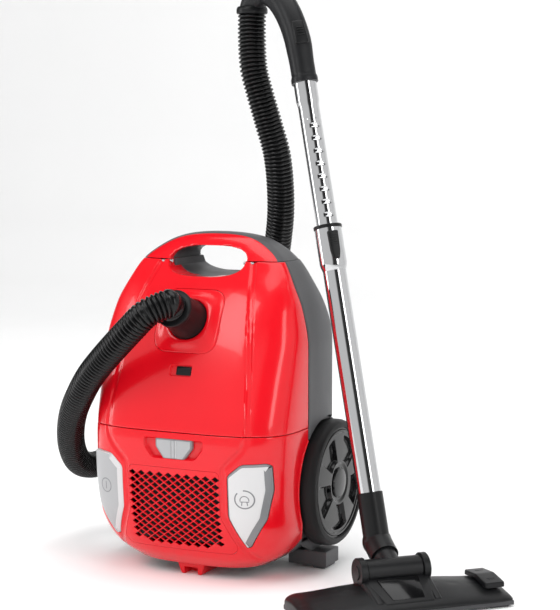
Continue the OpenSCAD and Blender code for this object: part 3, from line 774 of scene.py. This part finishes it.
corner = inset(resample(block, 2.4), 0.5)
bz_v, bz_f = [], []
steps = [(0, -3), (0, -0.4), (0.012, 0.1), (0.05, 0.35)] + [(t,
    0.35 + 4.2 * math.sin(min(t / 0.86, 1) * math.pi / 2) ** 2.2) for t in np.linspace(0.12, 0.86, 10)]
steps += [(0.93, 4.2), (0.98, 3.2), (1.0, 1.6), (1.0, -10)]
for cu, cv in corner:
    ang = math.atan2(cv, cu)
    hu, hv = 26.98 * math.cos(ang), 26.98 * math.sin(ang)
    for t, h in steps:
        u, v = cu + (hu - cu) * t, cv + (hv - cv) * t
        s = on_lid(u, v)
        bz_v.append(port + (s + h) * a0 + u * u0 + v * v0)
k = len(steps)
for i in range(len(corner)):
    for j in range(k - 1):
        a, b = i * k, ((i + 1) % len(corner)) * k
        bz_f.append((a + j, b + j, b + j + 1, a + j + 1))
bezel = build("port_bezel_red", bz_v, bz_f, "red", "lid", 50)
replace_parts(bezel, "port_bezel")

# hose coupling with fine grip lines and a rolled rim
coupling = lathe("hose_coupling_black", [(-22, 22), (-6, 22), (-5.5, 26.6), (3, 26.8), (5, 26.2),
    (8, 25.4), (14, 24.8), (30, 23.6),
                                         (37, 23.2), (37.6, 24.4), (38.6, 25), (43.4, 25), (44.6, 24.4),
                                         (45.2, 22.5), (45.2, 17.2), (-22, 17)],
                 port, port_out, "black", "hose_coupling", 144, closed=True)
for v in coupling.data.vertices:
    d = np.array(v.co) * 1000 - port
    s = d @ port_out
    r = d - s * port_out
    if 6 < s < 36 and np.linalg.norm(r) > 20:
        ang = math.atan2(r @ v0, r @ u0)
        v.co += Vector(r / np.linalg.norm(r) * 0.00022 * (1 if math.cos(ang * 72) > 0 else -1))
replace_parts(coupling, "hose_coupling")

# bag-full gauge: a recess with a dark window
plate("gauge_recess_red", rounded(gauge, 4), [(-1.2, -0.9), (-0.35, 0.05), (0.3, 0.05), (0.8, -0.6),
    (1.4, -2.6)], "red", "lid", front, 2.0)
window = plate("indicator_window_dark", bar(-6.5, 15.3, 267.6, 278.6, 1.6, 4),
               [(0, -2.8), (0, -2.0), (0.5, -1.5), (1.0, -1.4)], "piano", "lid", front, 2.0)
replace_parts(window, "indicator_window")


# latch in its recess
def flat(y):
    return lambda x, z, o: np.array([x, y - o, z])


plate("latch_recess_red", rounded(recess, 5),
    [(-1.3, -1.1), (-0.4, 0.0), (0.3, 0.05), (0.9, -0.5), (2.2, -5.4), (3.2, -6.2)], "red", "canister",
    front, 3.0)
hexa = [(-25.5, 188), (28, 188), (28, 176.5), (15.5, 160.5), (-13.5, 160.5), (-25.5, 176.5)]
# its bevelled rim takes the darker copy of its silver, a painted shade
latch = plate("latch_silver", rounded(hexa, 2.2, 4),
    [(0, -5.0), (0, -0.6), (0.25, -0.1), (2.0, 1.2), (2.4, 1.25)], "silver", "latch", flat(-103.4), 2.5,
    rim_mat="silver_shaded")
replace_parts(latch, "latch")
# the three ribs are one silver in three tones, plain, darker and lighter: painted shade and painted
# highlight
for x0, w, h, m in ((1.2, 4.6, 1.5, "silver"), (-1.6, 0.9, 0.7, "silver_shaded"), (4.6, 1.0, 0.9, "silver_lit")):
    plate("latch_rib_%d" % (x0 * 10 + 50), bar(x0 - w / 2, x0 + w / 2, 163, 185.5, 0.5, 3),
          [(0, 0.8), (0, 1.2 + h * 0.6), (w * 0.2, 1.25 + h)], m, "latch", flat(-103.4), 1.6)


# pedals: a face with bevelled sides, each in one silver split into a lighter copy, a painted highlight, and
# a darker copy, a painted shade
def slope(n):
    return 2.2 + (6.2 if n[0] > 0.5 else 0) + 0.6 * max(0, n[1])


def slope_l(n):
    return 1.2 + (5.4 if n[0] > 0.5 else 0)


ped = rounded(pedal, 4, 5)
ped_in = inset(ped, 0.7)
# its face takes the lighter copy of the silver, a painted highlight, and its rim the darker copy, a painted
# shade
face_r = plate("rewind_pedal_silver", ped_in,
    [(0, -5), (0, -0.2), (0.5, 0.35), (lambda n: slope(n) - 0.3, 2.5), (slope, 2.7)], "silver_lit",
    "rewind_pedal", front, 3.0, rim_mat="silver_shaded")
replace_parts(face_r, "rewind_pedal")
ped_l = rounded(mirror_x(pedal), 4, 5)
# its rim takes the lighter copy of the silver, a painted highlight
face_l = plate("power_pedal_silver", inset(ped_l, 0.7),
    [(0, -5), (0, -0.2), (0.5, 0.35), (lambda n: slope_l(n) - 0.3, 2.3), (slope_l, 2.5)], "silver",
    "power_pedal", front, 3.0, rim_mat="silver_lit")
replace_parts(face_l, "power_pedal")


def stroke(name, pts, width, body, lift=2.75, mat="print"):
    """A thin raised printed line on the front skin."""
    p = np.array(pts, float)
    t = np.gradient(p, axis=0)
    t /= np.maximum(np.linalg.norm(t, axis=1), 1e-9)[:, None]
    nrm = np.stack([-t[:, 1], t[:, 0]], 1)
    v = []
    for q, m in zip(p, nrm):
        for side, h in ((-1, 0), (-0.7, 0.18), (0.7, 0.18), (1, 0)):
            x, z = q + m * side * width / 2
            v.append(front(x, z, lift + h))
    f = [(k * 4 + i, k * 4 + i + 1, k * 4 + i + 5, k * 4 + i + 4) for k in range(len(p) - 1)
        for i in range(3)]
    return build(name, v, f, mat, body)


def arc(cx, cz, r, a0_, a1_, n=40):
    return [(cx + r * math.cos(math.radians(t)), cz + r * math.sin(math.radians(t)))
        for t in np.linspace(a0_, a1_, n)]


stroke("rewind_icon_ring", arc(98.5, 117.5, 11.5, -225, 96, 60), 1.7, "rewind_pedal")
stroke("rewind_icon_plug", arc(98.5, 116.5, 5.2, 0, 180, 24) + [(93.3, 114.5), (103.7, 114.5),
    (103.7, 116.5)], 1.2, "rewind_pedal")
stroke("rewind_icon_pin_a", [(95.6, 114.5), (95.0, 109.6)], 1.2, "rewind_pedal")
stroke("rewind_icon_pin_b", [(101.4, 114.5), (102.0, 109.6)], 1.2, "rewind_pedal")
stroke("power_icon_ring", arc(-104.5, 117, 9.0, 0, 360, 60), 1.3, "power_pedal", 2.55)
stroke("power_icon_bar", [(-104.5, 112), (-104.5, 122)], 1.5, "power_pedal", 2.55)


# ---------------------------------------------------------------- wheels
def wheel(side):
    tag = "right" if side > 0 else "left"
    body = "wheel_" + tag
    o = (0, 60, 115)
    turns = 240
    axis = (side, 0, 0)
    prof = [(134.4, 73), (134.4, 80), (136, 82.6), (139, 84), (146, 84), (153, 84), (158, 82.6),
        (161, 80), (162, 76.5), (162, 74.2), (160.6, 73)]
    tyre = lathe("wheel_%s_tyre_black" % tag, prof, o, axis, "tyre", body, 128, closed=True)
    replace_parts(tyre, "wheel_%s_tyre" % tag)
    rr = np.concatenate([np.linspace(13, 24, 8), np.linspace(25.5, 64, 34), np.linspace(65, 72.8, 14)])
    th = np.linspace(0, 2 * math.pi, turns, endpoint=False)
    R, T = np.meshgrid(rr, th, indexing="ij")
    k = (T * 5 / (2 * math.pi)) % 1.0
    dang = abs(k - 0.5) * 2 * math.pi / 5 * R
    half = 0.30 * 2 * math.pi / 5 * R - 1.0
    side_in = smooth_step((half - dang) / 2.6 + 0.5)
    rad_in = smooth_step((R - 29) / 3.2) * smooth_step((63 - R) / 2.6)
    h = 159.2 - 5.4 * side_in * rad_in
    h = h + 1.4 * smooth_step((R - 66) / 1.5) * smooth_step((71.2 - R) / 1.2)
    h = h - 2.0 * smooth_step((26.2 - R) / 1.6)
    h = h + 1.6 * (1 - ((R - 26) / 46) ** 2).clip(0, 1)
    a, u, v = frame_of(axis, (0, 0, 1))
    verts = [np.array(o) + h[i, j] * a + R[i, j] * (math.cos(T[i, j]) * u + math.sin(T[i, j]) * v)
        for i in range(len(rr)) for j in range(turns)]
    faces = ring_faces(len(rr), turns)
    n0 = len(verts)
    for s, r in ((150, 72.8), (136, 72.8), (136, 13)):
        verts += [np.array(o) + s * a + r * (math.cos(t) * u + math.sin(t) * v) for t in th]
    last = [(len(rr) - 1) * turns, n0, n0 + turns, n0 + 2 * turns, 0]
    for p, q in zip(last[:-1], last[1:]):
        faces += [(p + j, p + (j + 1) % turns, q + (j + 1) % turns, q + j) for j in range(turns)]
    rim = build("wheel_%s_disc_black" % tag, verts, faces, "piano", body, 40)
    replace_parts(rim, "wheel_%s_rim" % tag)
    cap = lathe("wheel_%s_hub_black" % tag, [(157, 20), (160.2, 20), (161.4, 18.8), (162.0, 16),
        (162.6, 8), (162.9, 0.2)], o, axis, "piano", body, 64)
    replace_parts(cap, "wheel_%s_cap" % tag)


wheel(1)
wheel(-1)


def well_lip(side):
    """A rolled edge of the wheel arch on the red housing."""
    pts = []
    for t in np.linspace(math.radians(92), math.radians(268), 90):
        y, z = 60 + 89.2 * math.cos(t), 115 + 89.2 * math.sin(t)
        if z < 17 or z > 195 or y > -0.4:
            continue
        lo, hi = 100.0, float(half_w(z))
        for _ in range(30):
            m = (lo + hi) / 2
            if float(front_y(m, z)) < y:
                lo = m
            else:
                hi = m
        pts.append((side * (lo - 0.6), y, z))
    pts = np.array(pts)
    d = even(pts, 2.0)[0]
    return swept("wheel_arch_%s" % ("right" if side > 0 else "left"), d,
        lambda k: [(1.5 * a, 1.5 * b) for a, b in circle[::2]], "red", "canister")


well_lip(1)
well_lip(-1)


# ---------------------------------------------------------------- feet and hook
def chunk(name, low_pts, high_pts, z0, z1, mat, body, width, sharp=45):
    n = len(low_pts)
    v = [(x, y, z0) for x, y in low_pts] + [(x, y, z1) for x, y in high_pts]
    ob = build(name, v, prism_faces(n), mat, body)
    return bevel(ob, width, 3, 30, sharp)


for m, tag in ((1, "right"), (-1, "left")):
    foot = chunk("stand_foot_%s" % tag, [(m * x, y) for x,
        y in ((129, 43), (147, 43), (147, 77), (129, 77))],
                 [(m * x, y) for x, y in ((127, 41), (149.5, 41), (149.5, 79), (127, 79))], 0, 24,
                 "grey", "canister", 1.6)
    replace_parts(foot, "stand_feet")
hook = chunk("parking_hook_red", [(-15, -57), (15, -57), (15, 4), (-15, 4)],
    [(-21, -58), (21, -58), (21, 6), (-21, 6)], 0, 17, "red", "canister", 1.8)
slot = chunk("tool", [(-10, -60), (10, -60), (10, -38), (-10, -38)],
    [(-10, -60), (10, -60), (10, -38), (-10, -38)], -1, 10, "red", None, 0.8)
boolean(hook, [slot])
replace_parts(hook, "parking_hook")


# ---------------------------------------------------------------- wand
def at(s):
    return tube_foot + s * tube_up


lower = lathe("lower_tube_chrome", [(0.2, 14.2), (0.2, 15), (286, 15), (334, 15), (334, 14)], tube_foot,
    tube_up, "chrome", "lower_tube", 96, side=face_dir, closed=True)
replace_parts(lower, "lower_tube")
collar = lathe("tube_collar_chrome", [(284, 15.02), (286, 15.6), (290, 17.0), (294, 17.5), (336, 17.5),
    (339, 17.5), (339, 15.02)], tube_foot, tube_up, "chrome", "lower_tube", 96, side=face_dir,
    closed=True)
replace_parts(collar, "tube_collar")
lathe("collar_ring_black", [(338.8, 15.0), (338.8, 18.0), (339.4, 18.4), (342.6, 18.4), (343.4, 17.6),
    (343.4, 14.1)], tube_foot, tube_up, "black", "lower_tube", 96, closed=True)


def upper_tube():
    ss = np.concatenate([np.arange(192, 346, 8), np.arange(346, 482, 0.7), np.arange(482, 499, 2),
        [499, 501, 504, 508, 511], np.arange(514, 536.5, 4), [536.3]])
    th = np.linspace(0, 2 * math.pi, 144, endpoint=False)
    a, u, v = frame_of(tube_up, face_dir)
    verts = []
    for s in ss:
        r0 = 13.75 + 1.25 * float(smooth_step((s - 500) / 9))
        if 483.5 < s < 485.5:
            r0 -= 0.35
        for t in th:
            r = r0
            tt = math.atan2(math.sin(t), math.cos(t))
            if abs(tt) < 0.62 and 350 < s < 482:
                k = (s - 356) / 16.8
                d = (k - round(k)) * 16.8
                w = math.cos(tt / 0.62 * math.pi / 2)
                if 0 <= round(k) <= 7 and abs(d) < 3.6:
                    r -= 1.3 * w ** 1.3 * float(smooth_step((3.4 - abs(d)) / 2.4))
            verts.append(tube_foot + s * a + r * (math.cos(t) * u + math.sin(t) * v))
    n = len(th)
    faces = ring_faces(len(ss), n)
    return build("upper_tube_chrome", verts, faces, "chrome", "canister", 60)


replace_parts(upper_tube(), "upper_tube")


def on_collar(x, s, o):
    """A point on the face side of the collar: x across, s up the wand."""
    a, u, v = frame_of(tube_up, face_dir)
    return tube_foot + s * a + (17.3 + o) * u * math.sqrt(max(0, 1 - (x / 40) ** 2)) + x * v


button = plate("tube_button_black", rounded([(-7.2, 334), (7.2, 334), (6.6, 308), (4.4, 297),
    (-4.4, 297), (-6.6, 308)], 2.5, 5),
               [(0, -4), (0, 0.6), (0.5, 2.2), (1.5, 3.0), (2.2, 3.1)], "black", "tube_button",
               on_collar, 1.5)
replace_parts(button, "tube_button")
for k in range(5):
    s = 316 + 3 * k
    plate("button_ridge_%d" % k, bar(-4.6, 4.6, s - 0.7, s + 0.7, 0.5, 3),
        [(0, 2.8), (0.2, 3.6), (0.5, 3.8)], "black", "tube_button", on_collar, 1.0)

# ---------------------------------------------------------------- grip
grip_way = [tube_head - 4 * tube_up, tube_head + 20 * tube_up, (101, 52, 699), (85, 60, 730),
    (65, 69, 753), (44, 78, 763), (27, 85, 757), (17.5, 89.5, 746), (16, 90, 736)]
gp, gs = even(catmull(grip_way, 16), 2.0)
gl = gs[-1]


def grip_section(k):
    t = gs[k] / gl
    w = 15.6 + 1.1 * float(smooth_step((t - 0.12) / 0.15)) - 0.6 * float(smooth_step((t - 0.8) / 0.15))
    if gs[k] < 7:
        w = 16.9
    elif gs[k] < 9:
        w = 16.9 - (gs[k] - 7) * 0.65
    out = []
    for a in np.linspace(0, 2 * math.pi, 72, endpoint=False):
        c, s = math.cos(a), math.sin(a)
        r = w * (abs(c) ** 2.5 + abs(s) ** 2.5) ** (-1 / 2.5)
        line = min(abs(math.atan2(math.sin(a - 1.1), math.cos(a - 1.1))),
            abs(math.atan2(math.sin(a + 2.0), math.cos(a + 2.0))))
        r -= 0.45 if line < 0.03 else 0
        out.append((r * c, r * s))
    return out


grip = swept("grip_black", gp, grip_section, "grip", "canister", side=face_dir)
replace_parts(grip, "grip")
sl_p = np.array([101, 52, 699.0])
sa, su, sv = frame_of((-0.4, 0.25, 1), face_dir)


def on_grip(x, s, o):
    bend = 0.0045 * s * s
    return sl_p + s * sa + (15.8 + o - bend) * su * math.sqrt(max(0, 1 - (x / 24) ** 2)) + x * sv


slide = plate("air_slider_dark", rounded([(-8.5, 17), (8.5, 17), (9.5, -16), (-9.5, -16)], 3, 5),
    [(0, -3), (0, 2.0), (0.6, 3.0), (1.6, 3.4)], "nozzle", "grip_slider", on_grip, 2.0)
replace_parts(slide, "grip_slider")
for k in range(4):
    s = 6 - 3.6 * k
    plate("slider_ridge_%d" % k, bar(-4.6, 4.6, s - 0.8, s + 0.8, 0.6, 3),
        [(0, 3.0), (0.25, 4.2), (0.6, 4.5)], "nozzle", "grip_slider", on_grip, 1.0)
cuff = lathe("hose_cuff_black", [(734.8, 17), (735.6, 20.2), (737, 21), (741, 21), (743.5, 20.4),
    (745, 19), (745, 16.6)], (16, 90, 0), (0, 0, 1), "black", "canister", 72, side=(1, 0, 0), closed=True)
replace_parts(cuff, "hose_cuff")

# ---------------------------------------------------------------- floor nozzle
nx = np.array([math.cos(yaw), math.sin(yaw), 0])
ny = np.array([-math.sin(yaw), math.cos(yaw), 0])


def nz(x, y, z):
    return np.array([pivot[0], pivot[1], 0]) + x * nx + y * ny + np.array([0, 0, z])


wing_top = [(18.5, 8.2), (18.6, 15), (17.5, 22), (13, 25.5), (6, 27.6), (-4, 28.6), (-16, 28.2),
    (-30, 25.4), (-44, 21.2), (-56, 17.2),
            (-63, 13.8), (-66.2, 10.6), (-66.5, 8.2), (-66, 7.9), (0, 7.9), (18, 7.9)]


def wings():
    xs = np.concatenate([-136 + 16 * (1 - np.cos(np.linspace(0, math.pi / 2, 12))),
        np.linspace(-118, 118, 60), (136 - 16 * (1 - np.cos(np.linspace(0, math.pi / 2, 12))))[::-1]])
    loop = catmull([(0, y, z) for y, z in wing_top[:13]], 4)[:, 1:]
    loop = np.concatenate([loop, [(-66, 7.9), (-40, 7.9), (-10, 7.9), (18, 7.9)]])
    v = []
    for x in xs:
        e = max(0.0, (abs(x) - 118) / 18)
        k = math.sqrt(max(0, 1 - e * e))
        low_ = 1 - 0.25 * smooth_step((abs(x) - 40) / 80)
        for y, z in loop:
            yy = -24 + (y + 24) * (0.80 + 0.20 * k)
            zz = 7.9 + (z - 7.9) * low_ * (0.45 + 0.55 * k)
            if z > 8 and abs(yy + 20 + (abs(x) - 46) * 0.12) < 0.8:
                zz -= 0.5
            v.append(nz(x, yy, zz))
    n = len(loop)
    f = ring_faces(len(xs), n)
    f += [tuple(range(n - 1, -1, -1)), tuple((len(xs) - 1) * n + i for i in range(n))]
    return build("nozzle_head_black", v, f, "nozzle", "nozzle_head", 32)


def local_block(name, pts_low, pts_high, mat, width, body="nozzle_head", seg=3):
    """A block from a lower and an upper loop of local points, with soft edges."""
    n = len(pts_low)
    v = [nz(*p) for p in pts_low] + [nz(*p) for p in pts_high]
    return bevel(build(name, v, prism_faces(n), mat, body), width, seg, 25)


head = wings()
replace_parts(head, "nozzle_head")
local_block("nozzle_ramp", [(-44, 12, 12), (44, 12, 12), (40, -60, 11), (-40, -60, 11)],
    [(-43, -13, 37), (43, -13, 37), (30, -58, 17.5), (-30, -58, 17.5)], "nozzle", 2.0)
local_block("nozzle_inset", [(-28, -17, 30), (28, -17, 30), (21.5, -52, 14), (-21.5, -52, 14)],
    [(-27.6, -18, 36.9), (27.6, -18, 36.9), (21, -53.2, 20.4), (-21, -53.2, 20.4)], "piano", 0.6)
for x0, x1 in ((-46, -37.2), (37.2, 46)):
    a = lathe("nozzle_cheek_%d" % (x0 > 0), [(0, 17.4), (0.8, 18.2), (x1 - x0 - 0.8, 18.2),
        (x1 - x0, 17.4)], nz(x0, 0, 42), nx, "nozzle", "nozzle_head", 72, side=(0, 0, 1))
    local_block("nozzle_rib_%d" % (x0 > 0), [(x0, 14, 12), (x1, 14, 12), (x1, -58, 12), (x0, -58, 12)],
        [(x0, 10, 46), (x1, 10, 46), (x1 * 0.9, -56, 18.2), (x0 * 0.9, -56, 18.2)], "nozzle", 1.6)
    lathe("nozzle_boss_%d" % (x0 > 0), [(0, 9), (1.2, 8.4), (1.5, 0.3)] if x0 > 0 else [(0, 9),
        (-1.2, 8.4), (-1.5, 0.3)], nz(46 if x0 > 0 else -46, 0, 42), nx, "nozzle", "nozzle_head", 48,
        side=(0, 0, 1))


def on_nozzle(x, y, o):
    z = float(np.interp(y, [-50, -18, 14], [25.4, 31.2, 29.0]))
    return nz(x, y, z + o)


npedal = plate("nozzle_pedal_black", bar(104.6, 131.4, -47.4, 12, 3.5, 5),
    [(0, -5), (0, -1.0), (0.5, 0.4), (1.4, 0.9), (1.8, 0.95)], "nozzle", "nozzle_pedal", on_nozzle, 3.0)
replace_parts(npedal, "nozzle_pedal")
for k, yy in enumerate((-2, -34)):
    a, b = 113, 124
    plate("pedal_icon_brush_%d" % k, bar(a, b, yy - 0.4, yy + 1.4, 0.6, 3),
        [(0, 0.7), (0.2, 1.25), (0.4, 1.3)], "grip", "nozzle_pedal", on_nozzle, 1.0)
    for q in range(3):
        if k:
            c = a + 2 + q * 3.5
            plate("pedal_icon_bristle_%d" % q, bar(c - 0.5, c + 0.5, yy - 4, yy - 0.8, 0.3, 2),
                [(0, 0.7), (0.15, 1.25), (0.3, 1.3)], "grip", "nozzle_pedal", on_nozzle, 1.0)

# ---------------------------------------------------------------- dust bag, a padded cloth form
def power(v, e):
    return math.copysign(abs(v) ** e, v)


def dust_bag():
    rows, cols = 56, 160
    verts = []
    for i in range(1, rows):
        f = -math.pi / 2 + math.pi * i / rows
        hem = 2.2 if abs(f) < 0.02 else 0.0
        for j in range(cols):
            t = 2 * math.pi * j / cols
            tuck = math.exp(-(f / 0.42) ** 2) * (0.5 + 0.5 * math.sin(17 * t + 1.3 * math.sin(3 * t)))
            sag = 1 - 0.045 * tuck - 0.02 * (1 + math.sin(5 * t + 3 * f)) * abs(math.cos(f))
            r = abs(math.cos(f)) ** 0.5 * sag
            dent = 1.8 * math.sin(4.2 * math.cos(t) * r + 1.1) * math.cos(3.1 * math.sin(t) * r)
            x = (94 * r + hem) * power(math.cos(t), 0.55)
            z = 268 + (60 * r + hem) * power(math.sin(t), 0.55)
            verts.append((x, 34 + power(math.sin(f), 0.62) * (64 - abs(dent)), z))
    faces = ring_faces(rows - 1, cols)
    last = len(verts)
    verts += [(0, 34 - 63, 268), (0, 34 + 63, 268)]
    faces += [(last, (j + 1) % cols, j) for j in range(cols)]
    faces += [(last + 1, (rows - 2) * cols + j, (rows - 2) * cols + (j + 1) % cols) for j in range(cols)]
    return build("dust_bag_cloth", verts, faces, "bag", "canister", 60)


bag = dust_bag()
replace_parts(bag, "dust_bag")

# ---------------------------------------------------------------- exact nodes that stay: their finishes
for node, mat in {
    "base_shell": "grey", "exhaust_filter": "filter", "motor_casing": "inner", "motor": "steel",
    "motor_mounts": "rubber",
    "pre_motor_filter": "media", "bag_collar": "card", "cord_outlet": "black", "power_switch": "black",
    "axle_pins": "steel", "screws": "steel", "rewind_spring": "steel", "reel_axle": "steel",
    "lid_seal": "rubber",
    "hinge_pins": "steel", "indicator_flag": "orange", "latch_spring": "steel",
    "power_pedal_spring": "steel",
    "rewind_pedal_spring": "steel", "motor_rotor": "steel", "reel_drum": "pale", "reel_brake": "pale",
    "caster_fork": "grey", "caster_wheel": "rubber", "nozzle_neck": "black", "nozzle_barrel": "nozzle",
    "nozzle_sole": "inner", "nozzle_brush": "bristle", "nozzle_rollers": "rubber"}.items():
    paint(node, mat)

# ---------------------------------------------------------------- floor and lights
t = Tree("studio_floor")
t.link(t.tint(t.remap(t.noise(3, 3), 0, 1), (0.97, 0.97, 0.97), (0.985, 0.985, 0.985)),
    t.bsdf.inputs["Base Color"])
t.bsdf.inputs["Roughness"].default_value = 0.9
t.bsdf.inputs["Specular IOR Level"].default_value = 0.1
M["floor"] = t.mat
sweep_v = []
prof = [(-3000, 0), (2600, 0), (3000, 60), (3300, 260), (3450, 600), (3500, 1200), (3500, 4500)]
for y, z in prof:
    sweep_v += [(-5000, y, z - 0.2), (5000, y, z - 0.2)]
floor = build("studio_sweep", sweep_v, [(2 * i, 2 * i + 1, 2 * i + 3, 2 * i + 2)
    for i in range(len(prof) - 1)], "floor", None, 80)


def area(name, at_, to, size, power, color=(1, 1, 1), size_y=None):
    li = bpy.data.lights.new(name, "AREA")
    li.shape = "RECTANGLE"
    li.size, li.size_y = size, size_y or size
    li.energy = power
    li.color = color
    ob = bpy.data.objects.new(name, li)
    ob.location = at_
    ob.rotation_euler = (Vector(to) - Vector(at_)).to_track_quat("-Z", "Y").to_euler()
    scene.collection.objects.link(ob)
    return ob


area("key", (-0.9, -2.4, 2.6), (0, 0, 0.3), 1.2, 30, size_y=1.6)
area("strip_right", (2.2, -1.0, 1.2), (0, 0, 0.3), 0.5, 12, size_y=1.8)
area("strip_left", (-2.2, -0.9, 0.9), (0, 0, 0.3), 0.5, 11, size_y=1.8)
area("top", (0.2, 0.2, 3.0), (0, 0, 0), 2.4, 42)

world = bpy.data.worlds.new("studio")
world.use_nodes = True
scene.world = world
wn = world.node_tree
soft = wn.nodes["Background"]
soft.inputs["Color"].default_value = (1, 1, 1, 1)
soft.inputs["Strength"].default_value = 0.72
where = wn.nodes.new("ShaderNodeTexCoord")
split = wn.nodes.new("ShaderNodeSeparateXYZ")
wn.links.new(where.outputs["Generated"], split.inputs[0])
turn = wn.nodes.new("ShaderNodeMath")
turn.operation = "ARCTAN2"
wn.links.new(split.outputs["Y"], turn.inputs[0])
wn.links.new(split.outputs["X"], turn.inputs[1])
part_of = wn.nodes.new("ShaderNodeMapRange")
wn.links.new(turn.outputs["Value"], part_of.inputs["Value"])
part_of.inputs["From Min"].default_value = -math.pi
part_of.inputs["From Max"].default_value = math.pi
ramp = wn.nodes.new("ShaderNodeValToRGB")
wn.links.new(part_of.outputs["Result"], ramp.inputs["Fac"])
cr = ramp.color_ramp
cr.elements[0].position, cr.elements[0].color = 0.0, (0.4, 0.4, 0.4, 1)
cr.elements[1].position, cr.elements[1].color = 1.0, (0.4, 0.4, 0.4, 1)
for place_, c in ((0.03, 0.85), (0.29, 0.85), (0.322, 0.05), (0.419, 0.05), (0.436, 0.95), (0.644, 0.95),
    (0.678, 0.07), (0.967, 0.07)):
    e = cr.elements.new(place_)
    e.color = (c, c, c, 1)
high = wn.nodes.new("ShaderNodeMapRange")
wn.links.new(split.outputs["Z"], high.inputs["Value"])
for key, v in (("From Min", 0.45), ("From Max", 0.65), ("To Min", 0.9), ("To Max", 0.18)):
    high.inputs[key].default_value = v
shiny = wn.nodes.new("ShaderNodeBackground")
wn.links.new(ramp.outputs["Color"], shiny.inputs["Color"])
wn.links.new(high.outputs["Result"], shiny.inputs["Strength"])
path = wn.nodes.new("ShaderNodeLightPath")
blend = wn.nodes.new("ShaderNodeMixShader")
wn.links.new(path.outputs["Is Glossy Ray"], blend.inputs[0])
wn.links.new(soft.outputs[0], blend.inputs[1])
wn.links.new(shiny.outputs[0], blend.inputs[2])
wn.links.new(blend.outputs[0], wn.nodes["World Output"].inputs["Surface"])
